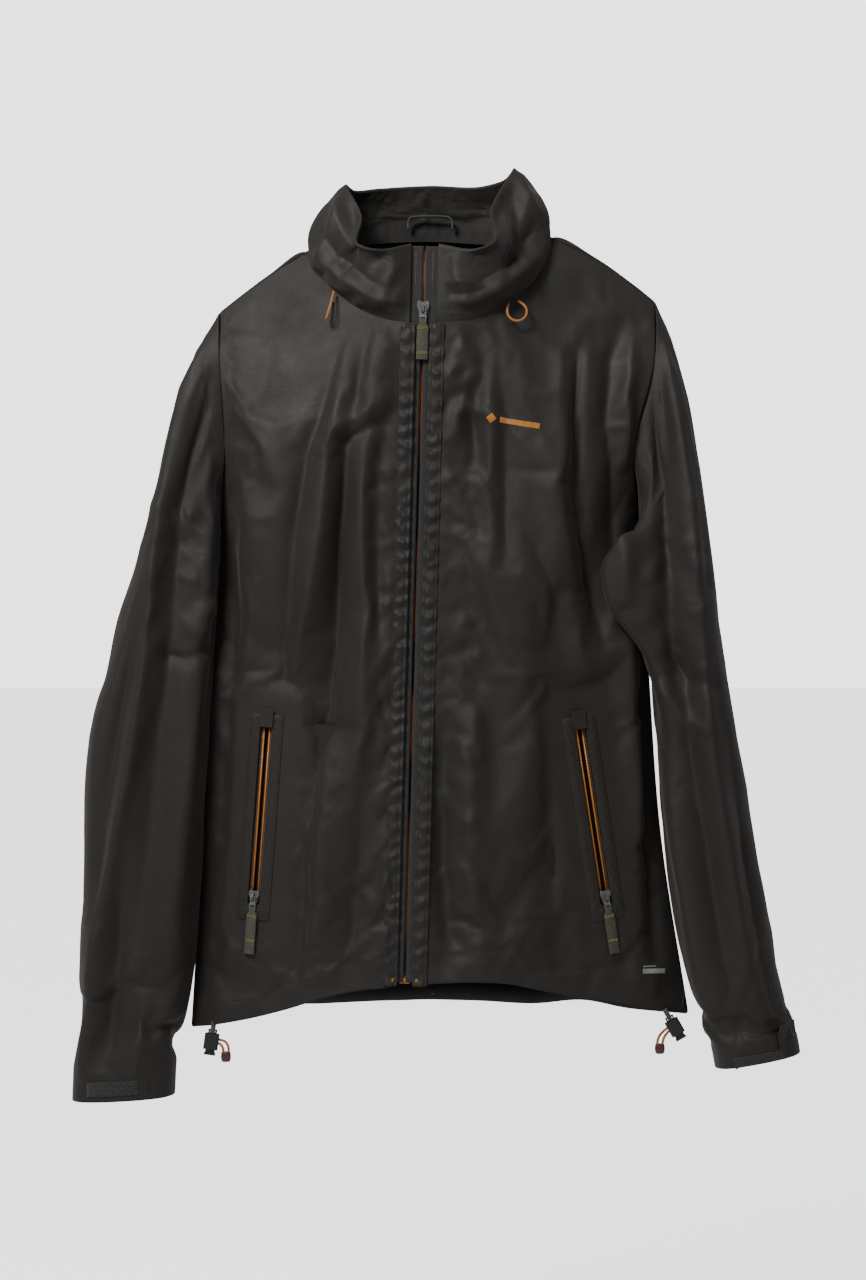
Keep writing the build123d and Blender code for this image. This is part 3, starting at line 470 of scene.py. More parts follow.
def grid_object(name, grid, materials, closed=False, skip=None):
    """A quad mesh over the grid. skip marks quads that are cut away."""
    rows, columns = grid.shape[:2]
    index = np.arange(rows * columns).reshape(rows, columns)
    if closed:
        index = np.concatenate([index, index[:, :1]], axis=1)
    quads = np.stack([index[:-1, :-1], index[:-1, 1:], index[1:, 1:], index[1:, :-1]], axis=-1)
    if skip is not None:
        quads = quads[~skip]
    mesh = bpy.data.meshes.new(name)
    mesh.from_pydata((grid.reshape(-1, 3) * MM).tolist(), [], quads.reshape(-1, 4)[:, ::-1].tolist())
    for material in materials:
        mesh.materials.append(material)
    mesh.shade_smooth()
    made = bpy.data.objects.new(name, mesh)
    bpy.context.collection.objects.link(made)
    return made


# %% [markdown]
# ## Letting the cloth settle
# Pressed folds alone look too regular. So each panel is run through the cloth simulation for
# a moment: its sewn edges are pinned, the cloth is made a touch larger than its frame and
# gravity pulls, so it buckles into small natural wrinkles. How far a point may move is
# limited, so that the panel keeps its place beside its neighbours.

# %% Cloth simulation with pinned seams
SETTLE_FRAMES = 14


def settle(piece, pinned, grow=0.02, bending=0.02, limit=6.0, gravity=0.35):
    """Runs the cloth for a moment. pinned has one weight for each vertex."""
    group = piece.vertex_groups.new(name="pinned")
    for step in range(11):
        weight = step / 10
        chosen = np.nonzero(np.round(pinned * 10) == step)[0]
        if weight and len(chosen):
            group.add(chosen.tolist(), weight, "REPLACE")
    cloth = piece.modifiers.new("cloth", "CLOTH")
    settings = cloth.settings
    settings.quality = 5
    settings.mass = 0.12
    settings.tension_stiffness = 30
    settings.compression_stiffness = 30
    settings.shear_stiffness = 12
    settings.bending_stiffness = bending
    settings.air_damping = 3
    settings.shrink_min = -grow
    settings.vertex_group_mass = "pinned"
    settings.effector_weights.gravity = gravity
    cloth.collision_settings.use_collision = False
    cloth.point_cache.frame_end = SETTLE_FRAMES
    start = np.array([v.co for v in piece.data.vertices])
    for frame_number in range(1, SETTLE_FRAMES + 1):
        bpy.context.scene.frame_set(frame_number)
    graph = bpy.context.evaluated_depsgraph_get()
    shaped = piece.evaluated_get(graph).data
    moved = np.array([v.co for v in shaped.vertices]) - start
    far = np.linalg.norm(moved, axis=1, keepdims=True)
    limit = limit * MM
    moved = moved * np.where(far > 1e-9, limit * np.tanh(far / limit) / np.maximum(far, 1e-9), 0)
    moved = moved * (1 - pinned)[:, None]
    piece.modifiers.remove(cloth)
    piece.vertex_groups.remove(group)
    bpy.context.scene.frame_set(1)
    piece.data.vertices.foreach_set("co", (start + moved).ravel())
    piece.data.update()
    print(piece.name, "settled by up to", round(float(np.linalg.norm(moved, axis=1).max()) / MM, 1), "mm")
    return piece


def apply_modifiers(piece):
    graph = bpy.context.evaluated_depsgraph_get()
    shaped = bpy.data.meshes.new_from_object(piece.evaluated_get(graph))
    piece.modifiers.clear()
    piece.data = shaped
    return piece


def thicken(piece, thickness=0.9, smooth=1, inner_slot=1):
    """One subdivision, then a real thickness on the inner side, with the inner face's material."""
    if smooth:
        piece.modifiers.new("smooth", "SUBSURF").levels = smooth
    solid = piece.modifiers.new("thickness", "SOLIDIFY")
    solid.thickness = thickness * MM
    solid.offset = -1
    solid.material_offset = inner_slot
    solid.material_offset_rim = 0
    return apply_modifiers(piece)


# %% [markdown]
# ## Places on the jacket
# The zip's middle line and the pockets' planes place most of the small parts, so they are
# defined once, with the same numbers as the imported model.

# %% The zip's line and the pockets' planes
ZIP_TOP = Vector((-4.5, -80.5, -40.0))
ZIP_BOTTOM = Vector((-22.5, -96.0, -697.0))
COLLAR_SEAM = -108.0
LEFT, RIGHT = 1, -1
SIDES = {LEFT: "left", RIGHT: "right"}


def zip_at(z, across=0.0, out=0.0):
    t = (z - ZIP_TOP.z) / (ZIP_BOTTOM.z - ZIP_TOP.z)
    place = ZIP_TOP.lerp(ZIP_BOTTOM, t)
    return (place.x + across, place.y - out, z)


def front_y(x):
    """The flat part of each front, where the pockets are set."""
    return -94.0 + 31.0 * (abs(x) - 72.0) / 110.0


def plane(origin, up, out):
    """A matrix in metres: y along up, z out of the cloth, x across to +X."""
    y = Vector(up).normalized()
    z = Vector(out)
    z = (z - y * z.dot(y)).normalized()
    x = y.cross(z)
    turn = Matrix((x, y, z)).transposed().to_4x4()
    return Matrix.Translation(Vector(origin) * MM) @ turn


ZIP_PLANE = plane(ZIP_BOTTOM, ZIP_TOP - ZIP_BOTTOM, (0, -1, 0))
ZIP_LENGTH = (ZIP_TOP - ZIP_BOTTOM).length
POCKET_FOOT = {LEFT: (157.0, -621.0), RIGHT: (-157.5, -621.0)}
POCKET_TOP = {LEFT: (133.0, -465.0), RIGHT: (-146.0, -465.0)}


def carried(place, points):
    """Points in millimetres, carried through a matrix in metres."""
    turn = np.array(place)
    flat = np.asarray(points, float).reshape(-1, 3) * MM
    return ((flat @ turn[:3, :3].T + turn[:3, 3]) / MM).reshape(np.shape(points))


def pocket_plane(side):
    (foot_x, foot_z), (top_x, top_z) = POCKET_FOOT[side], POCKET_TOP[side]
    foot = Vector((foot_x, front_y(foot_x), foot_z))
    top = Vector((top_x, front_y(top_x), top_z))
    out = Vector((side * 110.0, 31.0, 0)).cross(Vector((0, 0, 1))) * side
    return plane(foot, top - foot, out)


POCKET_PLANE = {side: pocket_plane(side) for side in SIDES}
print("zip length", round(ZIP_LENGTH, 1), "mm")


# %% [markdown]
# ## The body panels
# The front is cut in two and the back in one. Each is a net of eight columns, from the zip
# or the middle of the back to the side seam. The columns over the pockets lie on one flat
# facet, because a pocket zip keeps the cloth round it flat.

# %% Nets of the front and back
TIP = {LEFT: (205, -34, -84), RIGHT: (-192, -34, -94)}
SHOULDER = {LEFT: (160, -34, -48), RIGHT: (-153, -34, -63)}
NECK = {LEFT: (111, -34, -25), RIGHT: (-113, -34, -38)}
ROW_KNOTS = (0, 0.07, 0.19, 0.31, 0.48, 0.72, 1)
SEAM = {
    side: [
        TIP[side],
        (TIP[side][0] - 2 * side, -34, -135),
        (185 * side, -34, -215),
        (190 * side, -36, -292),
        (198 * side, -36, -405),
        ((209 if side > 0 else 206) * side, -36, -560),
        ((235 if side > 0 else 217) * side, -36, -731 if side > 0 else -743),
    ]
    for side in SIDES
}
ARM_FRONT = (-34, -56, -60, -36, -36, -36, -36)
ARM_BACK = (-34, -10, -6, -36, -36, -36, -36)


def mean(a, b, t=0.5):
    return tuple(p + (q - p) * t for p, q in zip(a, b))


def front_net(side):
    s = side
    seam = [(x, y, z) for (x, _, z), y in zip(SEAM[side], ARM_FRONT)]
    hem = {
        RIGHT: (-699, -700, -704, -712, -722, -731, -738),
        LEFT: (-697, -695, -697, -704, -711, -716, -723),
    }[side]
    top = [
        zip_at(COLLAR_SEAM, 12 * s, 2.2),
        (36 * s, -80, -105),
        (62 * s, -70, -93),
        (88 * s, -54, -72),
        NECK[side],
        mean(NECK[side], SHOULDER[side], 0.8),
        mean(SHOULDER[side], TIP[side], 0.5),
    ]
    rows = [
        top,
        [zip_at(-137, 12 * s, 2.2), (38 * s, -86.5, -135), (66 * s, -83, -131), (94 * s, -75, -124),
         (122 * s, -67, -118), (150 * s, -62, -122), (175 * s, -58, -128)],
        [zip_at(-215, 12 * s, 2.2), (40 * s, -89, -215), (66 * s, -91, -215), (92 * s, -89, -215),
         (118 * s, -83, -215), (143 * s, -76, -215), (166 * s, -69, -215)],
        [zip_at(-292, 12 * s, 2.2), (40 * s, -91, -292), (67 * s, -94, -292), (94 * s, -92, -292),
         (120 * s, -86, -292), (146 * s, -76, -292), (170 * s, -62, -292)],
        [zip_at(-405, 12 * s, 2.2), (40 * s, -93.5, -405), (68 * s, -95, -405), (96 * s, front_y(96), -405),
         (124 * s, front_y(124), -405), (152 * s, front_y(152), -405), (180 * s, front_y(180), -405)],
        [zip_at(-560, 12 * s, 2.2), (40 * s, -96.5, -560), (69 * s, -95, -560), (98 * s, front_y(98), -560),
         (127 * s, front_y(127), -560), (156 * s, front_y(156), -560), (186 * s, front_y(186), -560)],
        [zip_at(hem[0], 12 * s, 2.2), (40 * s, -98, hem[1]), (70 * s, -95, hem[2]), (100 * s, -87, hem[3]),
         (130 * s, -79, hem[4]), (162 * s, -70, hem[5]), (195 * s, -60, hem[6])],
    ]
    return [row + [edge] for row, edge in zip(rows, seam)]


def back_half(side):
    s = side
    seam = [(x, y, z) for (x, _, z), y in zip(SEAM[side], ARM_BACK)]
    hem = -731 if side > 0 else -736
    rows = [
        [mean(SHOULDER[side], TIP[side], 0.5), mean(NECK[side], SHOULDER[side], 0.8), NECK[side],
         (62 * s, 3, -19)],
        [(165 * s, 2, -110), (140 * s, 8, -95), (105 * s, 13, -85), (58 * s, 18, -80)],
        [(160 * s, 8, -215), (128 * s, 16, -215), (92 * s, 20, -215), (48 * s, 21, -215)],
        [(165 * s, 2, -292), (130 * s, 16, -292), (92 * s, 20, -292), (48 * s, 21, -292)],
        [(168 * s, 2, -405), (132 * s, 15, -405), (94 * s, 20, -405), (48 * s, 21, -405)],
        [(174 * s, 2, -560), (136 * s, 14, -560), (96 * s, 19, -560), (48 * s, 21, -560)],
        [(182 * s, 0, hem), (142 * s, 12, hem + 6), (98 * s, 17, -729), (48 * s, 20, -727)],
    ]
    return [[edge] + row for edge, row in zip(seam, rows)]


def back_net():
    middles = [(0, 11, -14), (0, 20, -80)]
    middles += [(0, 22, z) for z in (-215, -292, -405, -560, -726)]
    return [l + [m] + r[::-1] for l, m, r in zip(back_half(LEFT), middles, back_half(RIGHT))]


FRONT_COLUMNS, BODY_ROWS, BACK_COLUMNS = 46, 132, 72
fronts = {side: patch(front_net(side), FRONT_COLUMNS, BODY_ROWS, ROW_KNOTS) for side in SIDES}
back = patch(back_net(), BACK_COLUMNS, BODY_ROWS, ROW_KNOTS)
print("front grid", fronts[LEFT].shape, "back grid", back.shape)


# %% [markdown]
# ### Folds of the fronts
# A hung jacket drapes from its collar and shoulders. Long soft folds fall from the collar's
# front, and small crumples gather beside the zip, whose tape is a little shorter than the
# cloth sewn to it. Each fold is a line with a height, a width and a sharpness.

# %% Fold lines of the two fronts
FOLD_STRENGTH = 1.75


def stronger(folds, share):
    return [(line, share * high, wide, sharp) for line, high, wide, sharp in folds]


FOLDS = {
    RIGHT: [
        ([(-70, -105), (-80, -123), (-94, -176), (-109, -224), (-121, -297), (-129, -400), (-132, -470)],
         -6, 9, 1.3),
        ([(-66, -105), (-76, -128), (-90, -224), (-100, -296), (-117, -381), (-122, -440)], 6, 12, 1.5),
        ([(-50, -100), (-58, -111), (-66, -166), (-73, -224), (-80, -296), (-87, -392),
          (-100, -520), (-119, -690)], -8, 12, 1.4),
        ([(-45, -110), (-51, -128), (-57, -200), (-58, -273), (-57, -369), (-62, -470), (-74, -600)],
         6, 12, 1.5),
        ([(-38, -180), (-40, -200), (-47, -263), (-47, -345), (-45, -400)], -5, 7, 1.3),
        ([(-88, -470), (-96, -560), (-104, -700)], 7, 16, 1.7),
        ([(-60, -520), (-66, -610), (-78, -710)], -4, 10, 1.4),
        ([(-150, -110), (-150, -200), (-158, -330), (-166, -450)], 4, 20, 1.8),
        ([(-176, -290), (-180, -400), (-186, -560), (-196, -700)], -5, 10, 1.5),
        ([(-196, -330), (-196, -450), (-200, -600)], 4, 8, 1.6),
        ([(-34, -180), (-58, -186), (-84, -204), (-98, -226)], 3, 6, 1.3),
        ([(-34, -196), (-56, -202), (-78, -220)], -3, 5, 1.3),
    ],
    LEFT: [
        ([(30, -112), (50, -135), (46, -165), (40, -200), (36, -260)], -5, 9, 1.4),
        ([(54, -108), (62, -128), (66, -180), (67, -248), (64, -330)], -4, 10, 1.4),
        ([(56, -110), (54, -180), (54, -260), (52, -360)], 4, 10, 1.6),
        ([(150, -98), (147, -106), (133, -128), (129, -190), (130, -248), (142, -320), (156, -400)],
         -8, 8, 1.2),
        ([(142, -100), (120, -132), (116, -200), (118, -280), (128, -360), (140, -430)], 6, 13, 1.6),
        ([(174, -95), (162, -140), (160, -200), (166, -255), (172, -330)], -6, 8, 1.3),
        ([(184, -110), (176, -170), (176, -240)], 5, 8, 1.6),
        ([(20, -188), (44, -186), (66, -196), (82, -212)], 3, 6, 1.3),
        ([(18, -440), (9, -512), (12, -600), (20, -690)], -7, 12, 1.4),
        ([(40, -430), (34, -520), (38, -620), (46, -700)], 6, 14, 1.6),
        ([(80, -240), (84, -360), (92, -480), (96, -640)], 5, 20, 1.8),
        ([(104, -420), (108, -520), (112, -690)], -4, 12, 1.5),
        ([(190, -400), (196, -520), (206, -690)], -6, 8, 1.3),
        ([(180, -380), (184, -480), (190, -600)], 5, 9, 1.5),
        ([(206, -440), (212, -560), (222, -700)], 5, 7, 1.4),
    ],
}
for side in SIDES:
    s = side
    FOLDS[side] = stronger(FOLDS[side], FOLD_STRENGTH)
    near = sorted((s * 12, s * 46))
    wide = sorted((s * 20, s * 190))
    FOLDS[side] += crumples(3 + s, 110, (*near, -690, -130), 22, 4.2, 3.2, (20, 160))
    FOLDS[side] += crumples(13 + s, 14, (*wide, -690, -110), 120, 9, 1.3, (75, 105))
    FOLDS[side] += crumples(23 + s, 20, (*wide, -725, -560), 60, 6, 2.4, (40, 140))
    outer_edge = sorted((s * 190, s * 232))
    FOLDS[side] += crumples(33 + s, 22, (*outer_edge, -715, -420), 26, 5, 2.6, (30, 150))
print("fold lines", {SIDES[side]: len(lines) for side, lines in FOLDS.items()})


# %% Fronts with their pocket openings
def pocket_place(side, points):
    """The points, in millimetres, in the pocket's own plane."""
    return carried(POCKET_PLANE[side].inverted(), points)


def flat_round_pocket(side, grid):
    """0 on and beside the pocket zip, 1 well away from it."""
    place = pocket_place(side, grid)
    beside = np.maximum(np.abs(place[:, :, 0]) - 18, 0)
    beyond = np.maximum(np.maximum(-25 - place[:, :, 1], place[:, :, 1] - 172), 0)
    return eased(np.hypot(beside, beyond) / 26)


def press_flat(side, grid):
    """Cloth beside the pocket zip lies exactly in its plane."""
    place = pocket_place(side, grid)
    flat = place.copy()
    flat[:, :, 2] = 0
    level = carried(POCKET_PLANE[side], flat)
    return level + (grid - level) * flat_round_pocket(side, grid)[:, :, None]


front_pieces = {}
for side, name in SIDES.items():
    grid = fronts[side]
    rows, columns = grid.shape[:2]
    sewn = edge_mask(rows, columns, top=5, start=3, end=4)
    open_mask = sewn * flat_round_pocket(side, grid)
    hem_hold = edge_mask(rows, columns, bottom=6)
    normal = normals_of(grid)
    normal = normal * (1 if normal[60, 20, 1] < 0 else -1)
    height = crease_field(grid, FOLDS[side], open_mask)
    grid = press_flat(side, grid + normal * height[:, :, None])
    fronts[side] = grid
    middle = (grid[:-1, :-1] + grid[1:, 1:]) / 2
    place = pocket_place(side, middle)
    window = (np.abs(place[:, :, 0]) < 8.5) & (place[:, :, 1] > -8) & (place[:, :, 1] < 160)
    mesh_grid = grid if side > 0 else grid[:, ::-1]
    skip = window if side > 0 else window[:, ::-1]
    piece = grid_object("front_" + name, mesh_grid, [SHELL, BACKER], skip=skip)
    hold = 1 - open_mask * hem_hold
    hold = hold if side > 0 else hold[:, ::-1]
    settle(piece, np.clip(hold.ravel(), 0, 1))
    thicken(piece)
    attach(piece, "root")
    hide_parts("front_panel_" + name)
    front_pieces[side] = piece
print("fronts", [len(p.data.vertices) for p in front_pieces.values()])


# %% [markdown]
# ### The back
# The back hangs from the shoulders and the neck. It is one wide panel with long, shallow
# folds, a little fuller towards the dropped hem. Its inside shows below the front hem and
# above the collar's front, so it has the darker inner face.

# %% Back panel
BACK_FOLDS = [
    ([(-150, -90), (-140, -250), (-132, -480), (-138, -720)], 5, 18, 1.6),
    ([(-118, -120), (-108, -300), (-100, -520), (-104, -725)], -5, 12, 1.4),
    ([(-70, -60), (-66, -250), (-58, -500), (-62, -725)], 5, 20, 1.7),
    ([(-20, -70), (-24, -280), (-18, -520), (-26, -720)], -4, 16, 1.5),
    ([(34, -60), (30, -240), (38, -480), (34, -720)], 5, 18, 1.6),
    ([(80, -80), (74, -300), (82, -540), (80, -720)], -5, 13, 1.4),
    ([(128, -90), (118, -260), (124, -500), (134, -715)], 5, 17, 1.6),
    ([(160, -180), (158, -360), (168, -560), (178, -715)], -4, 10, 1.4),
    ([(-176, -200), (-170, -380), (-178, -600), (-188, -720)], -4, 10, 1.4),
]
BACK_FOLDS += crumples(41, 50, (-180, 180, -700, -60), 90, 10, 2.4, (65, 115))
BACK_FOLDS += crumples(42, 30, (-190, 190, -720, -540), 46, 8, 2.2, (30, 150))
rows, columns = back.shape[:2]
sewn = edge_mask(rows, columns, top=5, start=4, end=4)
back = back + normals_of(back) * crease_field(back, BACK_FOLDS, sewn)[:, :, None]
back_piece = grid_object("back", back, [SHELL, BACKER])
back_hold = 1 - sewn * edge_mask(rows, columns, bottom=6)
settle(back_piece, np.clip(back_hold.ravel(), 0, 1))
thicken(back_piece)
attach(back_piece, "root")
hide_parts("back_panel")
print("back", len(back_piece.data.vertices))


# %% [markdown]
# ## The sleeves
# A set-in sleeve is a tube whose top ring is the armhole itself. Empty, it hangs flat and
# twists a little, so long creases run down it. The rings fan out from the underarm, where
# the cloth is short, to the shoulder, where it is long. On the wearer's left the front of the
# tube falls forward over the body and makes a pocket-like fold above the elbow.

# %% Rings of a sleeve
AROUND = 8
SLEEVE_AROUND, SLEEVE_DOWN = 72, 168


def ring(side, x_in, x_out, z_in, z_out, y_front, y_back, tuck=0.0):
    """Eight points: outer edge, front, inner edge, back. tuck pulls the inner front over the body."""
    points = []
    for k in range(AROUND):
        angle = 2 * math.pi * k / AROUND
        c, s = math.cos(angle), math.sin(angle)
        t = 0.5 + 0.5 * math.copysign(abs(c) ** 0.8, c)
        y = (y_front + y_back) / 2 + (y_front - y_back) / 2 * math.copysign(abs(s) ** 0.8, s)
        shift = tuck * (0.0, 0.0, 0.35, 1.0, 0.5, 0.0, 0.0, 0.0)[k]
        x = x_in + (x_out - x_in) * t - shift
        points.append((side * x, y - 0.12 * shift, z_in + (z_out - z_in) * t))
    return points


def armhole(side):
    """The armhole's eight points, in the ring's order."""
    edge = SEAM[side]
    tip, arm, chest, under = [np.array(edge[i], float) for i in range(4)]
    low = (1.0 * chest + 1.2 * under) / 2.2

    def at(point, y):
        return (point[0], y, point[2])

    front_half = [at(tip, -34), at(arm, -56), at(chest, -60), at(low, -52)]
    return front_half + [at(under, -36), at(low, -14), at(chest, -6), at(arm, -10)]


SLEEVE_RINGS = {
    RIGHT: [
        (193, 222, -300, -150, -72, 0, 0),
        (194, 243, -312, -222, -80, 5, 0),
        (196, 262, -330, -285, -84, 6, 0),
        (199, 283, -372, -352, -85, 6, 0),
        (204, 299, -420, -415, -86, 6, 0),
        (208, 314, -484, -484, -86, 5, 0),
        (213, 317, -590, -590, -84, 2, 0),
        (219, 320, -680, -680, -81, -3, 0),
        (227, 322, -745, -747, -78, -8, 0),
        (231, 324, -802, -807, -76, -12, 0),
    ],
    LEFT: [
        (193, 231, -300, -148, -74, 1, 4),
        (194, 243, -306, -218, -84, 4, 22),
        (195, 250, -318, -270, -90, 6, 46),
        (197, 259, -356, -330, -93, 6, 44),
        (201, 266, -400, -385, -90, 5, 14),
        (206, 283, -468, -468, -88, 4, 0),
        (218, 300, -570, -570, -88, 0, 0),
        (232, 317, -672, -672, -85, -5, 0),
        (249, 330, -735, -733, -80, -10, 0),
        (258, 335, -778, -763, -77, -14, 0),
    ],
}
SLEEVE_KNOTS = (0, 0.08, 0.17, 0.26, 0.36, 0.46, 0.56, 0.70, 0.83, 0.92, 1)
SLEEVE_FOLDS = {
    RIGHT: [
        ([(-200, -110), (-223, -164), (-246, -300), (-270, -487), (-292, -600), (-311, -710)], 9, 9, 1.2),
        ([(-206, -150), (-222, -260), (-238, -400), (-256, -560), (-268, -700)], -5, 12, 1.5),
        ([(-196, -260), (-212, -380), (-224, -520), (-238, -700), (-244, -780)], 6, 12, 1.5),
        ([(-252, -330), (-284, -470), (-300, -580), (-306, -640)], -6, 9, 1.3),
        ([(-280, -560), (-284, -660), (-292, -780)], -6, 9, 1.3),
        ([(-258, -700), (-262, -760), (-268, -806)], 5, 9, 1.4),
        ([(-300, -640), (-308, -720), (-312, -790)], 4, 8, 1.4),
        ([(-205, -395), (-222, -404), (-246, -398)], -4, 6, 1.3),
    ],
    LEFT: [
        ([(206, -100), (224, -180), (236, -270), (244, -380), (256, -500), (280, -640), (304, -740)],
         7, 10, 1.3),
        ([(196, -150), (206, -220), (212, -290), (214, -370), (222, -460)], -7, 9, 1.3),
        ([(186, -200), (178, -260), (172, -300), (176, -360)], 6, 8, 1.4),
        ([(226, -380), (234, -480), (252, -600), (272, -720)], -6, 10, 1.4),
        ([(214, -470), (228, -580), (246, -690), (262, -770)], 6, 9, 1.4),
        ([(270, -470), (288, -570), (306, -680), (318, -750)], -5, 9, 1.4),
        ([(208, -395), (232, -420), (262, -430)], -5, 7, 1.2),
        ([(204, -420), (226, -452), (250, -470)], 4, 7, 1.3),
    ],
}
for side in SIDES:
    s = side
    SLEEVE_FOLDS[side] = stronger(SLEEVE_FOLDS[side], FOLD_STRENGTH)
    whole_sleeve = (*sorted((s * 200, s * 320)), -790, -150)
    elbow = (*sorted((s * 190, s * 250)), -430, -260)
    SLEEVE_FOLDS[side] += crumples(53 + s, 20, whole_sleeve, 110, 8, 1.8, (72, 106))
    SLEEVE_FOLDS[side] += crumples(63 + s, 26, elbow, 30, 6, 3.0, (0, 180))

sleeve_grids = {}
sleeve_pieces = {}
for side, name in SIDES.items():
    rings = [armhole(side)] + [ring(side, *row) for row in SLEEVE_RINGS[side]]
    grid = tube(rings, SLEEVE_AROUND, SLEEVE_DOWN, SLEEVE_KNOTS)
    grid = grid if side > 0 else grid[:, ::-1]
    normal = normals_of(grid, closed=True)
    middle = grid.mean(axis=1, keepdims=True)
    sign = np.sign(((grid - middle) * normal).sum(axis=2).mean())
    normal = normal * sign
    cuff = np.arange(SLEEVE_DOWN + 1)[:, None]
    mask = eased(cuff / 8) * eased((SLEEVE_DOWN - cuff) / 12) * np.ones((1, SLEEVE_AROUND))
    back_of_sleeve = (*sorted((side * 200, side * 325)), -790, -150)
    behind = crumples(73 + side, 60, back_of_sleeve, 110, 11, 3.6, (70, 120))
    front_share = eased(0.5 - 0.9 * normal[:, :, 1])
    front_height = crease_field(grid, SLEEVE_FOLDS[side], mask)
    height = front_height * front_share + crease_field(grid, behind, mask) * (1 - front_share)
    grid = grid + normal * height[:, :, None]
    sleeve_grids[side] = grid
    piece = grid_object("sleeve_cloth_" + name, grid, [SHELL, BACKER], closed=True)
    if sign > 0:
        piece.data.flip_normals()
    settle(piece, np.clip(1 - mask.ravel(), 0, 1), grow=0.025, limit=7)
    thicken(piece)
    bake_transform(piece)
    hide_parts("sleeve_head_" + name, "sleeve_" + name)
    sleeve_pieces[side] = piece
    print(piece.name, "vertices", len(piece.data.vertices))


# %% [markdown]
# ## The collar
# The collar is two layers, a shell outside and a darker lining inside, and only its own
# stiffness holds it up, so it stands and slumps. Both layers are patches through rows of
# points from the neck seam to the top edge, joined by a rolled edge. The front folds over at
# each side, and the back stands up as far as the loop.

# %% Collar rows
COLLAR_ACROSS, COLLAR_UP = 150, 30
COLLAR_ROWS = [
    [zip_at(-110, -12, 2.2), (-36, -79, -108), (-62, -69, -97), (-88, -53, -77), (-111, -34, -44),
     (-92, -9, -34), (-60, 3, -28), (0, 9, -24), (60, 3, -28), (92, -9, -30), (109, -34, -33),
     (88, -53, -77), (62, -69, -97), (36, -79, -108), zip_at(-110, 12, 2.2)],
    [zip_at(-86, -12, 3), (-40, -90, -84), (-70, -82, -72), (-96, -62, -50), (-112, -36, -20), (-92, -8, -10),
     (-60, 8, -4), (0, 13, 0), (60, 8, 0), (92, -8, 0), (110, -36, -8), (98, -60, -46), (70, -82, -68),
     (40, -90, -84), zip_at(-86, 12, 3)],
    [zip_at(-62, -12, 3), (-44, -94, -60), (-72, -84, -50), (-92, -62, -26), (-100, -36, 2), (-84, -10, 8),
     (-56, 8, 12), (0, 12, 13), (56, 8, 14), (84, -10, 16), (100, -36, 14), (90, -62, -20), (68, -82, -48),
     (42, -92, -60), zip_at(-62, 12, 3)],
    [zip_at(-39, -12, 3), (-42, -96, -46), (-66, -96, -41), (-62, -72, -12), (-77, -40, 22), (-69, -12, 21),
     (-48, 2, 25), (0, 8, 28), (48, 2, 27), (69, -12, 31), (77, -40, 37), (55, -70, -6), (58, -94, -38),
     (38, -96, -46), zip_at(-39, 12, 3)],
]
COLLAR_FOLDS = [
    ([(-100, -20), (-84, -46), (-58, -70), (-30, -84)], -6, 8, 1.3),
    ([(-104, -40), (-80, -66), (-46, -86), (-16, -94)], 5, 8, 1.4),
    ([(-60, 4), (-52, -26), (-44, -52), (-30, -60)], -6, 8, 1.3),
    ([(-84, 10), (-78, -20), (-70, -44)], 5, 8, 1.4),
    ([(102, -6), (88, -36), (62, -62), (34, -80)], -6, 8, 1.3),
    ([(106, -30), (84, -58), (54, -80), (20, -92)], 5, 8, 1.4),
    ([(70, 20), (60, -16), (50, -44), (34, -58)], -6, 7, 1.3),
    ([(88, 16), (82, -16), (72, -44)], 5, 9, 1.4),
    ([(-30, -46), (-36, -70), (-44, -96)], 3, 6, 1.4),
    ([(20, -48), (26, -72), (34, -96)], 3, 6, 1.4),
]
COLLAR_FOLDS += [
    ([(-74, 22), (-84, -8), (-100, -44), (-108, -62)], 6, 9, 1.3),
    ([(-70, 8), (-66, -20), (-72, -50), (-84, -72)], -6, 8, 1.2),
    ([(78, 34), (90, 6), (104, -18)], 5, 9, 1.3),
    ([(76, 20), (80, -16), (74, -50), (66, -78)], -7, 8, 1.2),
    ([(64, 6), (70, -24), (66, -56), (58, -84)], 5, 8, 1.4),
    ([(14, -74), (30, -72), (48, -78)], 4, 4, 1.2),
    ([(14, -82), (34, -84), (56, -76)], -4, 4, 1.2),
]
COLLAR_FOLDS = stronger(COLLAR_FOLDS, 1.35)
COLLAR_FOLDS += crumples(81, 40, (-100, 100, -100, 20), 24, 4.5, 2.0, (0, 180))

outer = patch(COLLAR_ROWS, COLLAR_ACROSS, COLLAR_UP)
normal = normals_of(outer)
centre = np.array([0.0, -34.0, 0.0])
outward = outer - centre
outward[:, :, 2] = 0
sign = np.sign((outward * normal).sum(axis=2).mean())
normal = normal * sign
mask = edge_mask(COLLAR_UP + 1, COLLAR_ACROSS + 1, top=4, bottom=3, start=4, end=4)
height = crease_field(outer, COLLAR_FOLDS, mask) * eased(0.5 - 1.2 * normal[:, :, 1])
outer = outer + normal * height[:, :, None]
inner = outer - normal * 3.4
roll = (outer[-1] + inner[-1]) / 2 + np.array([0, 0, 1.6])
whole = np.concatenate([outer, roll[None], inner[::-1]], axis=0)
collar = grid_object("collar", whole if sign > 0 else whole[:, ::-1], [SHELL, BACKER])
lining_from = (COLLAR_UP + 2) * COLLAR_ACROSS
for polygon in collar.data.polygons:
    polygon.material_index = int(polygon.index >= lining_from)
hold = np.concatenate([1 - mask, np.ones((1, COLLAR_ACROSS + 1)), (1 - mask)[::-1]], axis=0)
hold = hold if sign > 0 else hold[:, ::-1]
settle(collar, np.clip(hold.ravel(), 0, 1), grow=0.02, limit=2.5)
collar.modifiers.new("smooth", "SUBSURF").levels = 1
apply_modifiers(collar)
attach(collar, "root")
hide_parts("collar_outer", "collar_lining")
print("collar", len(collar.data.vertices))


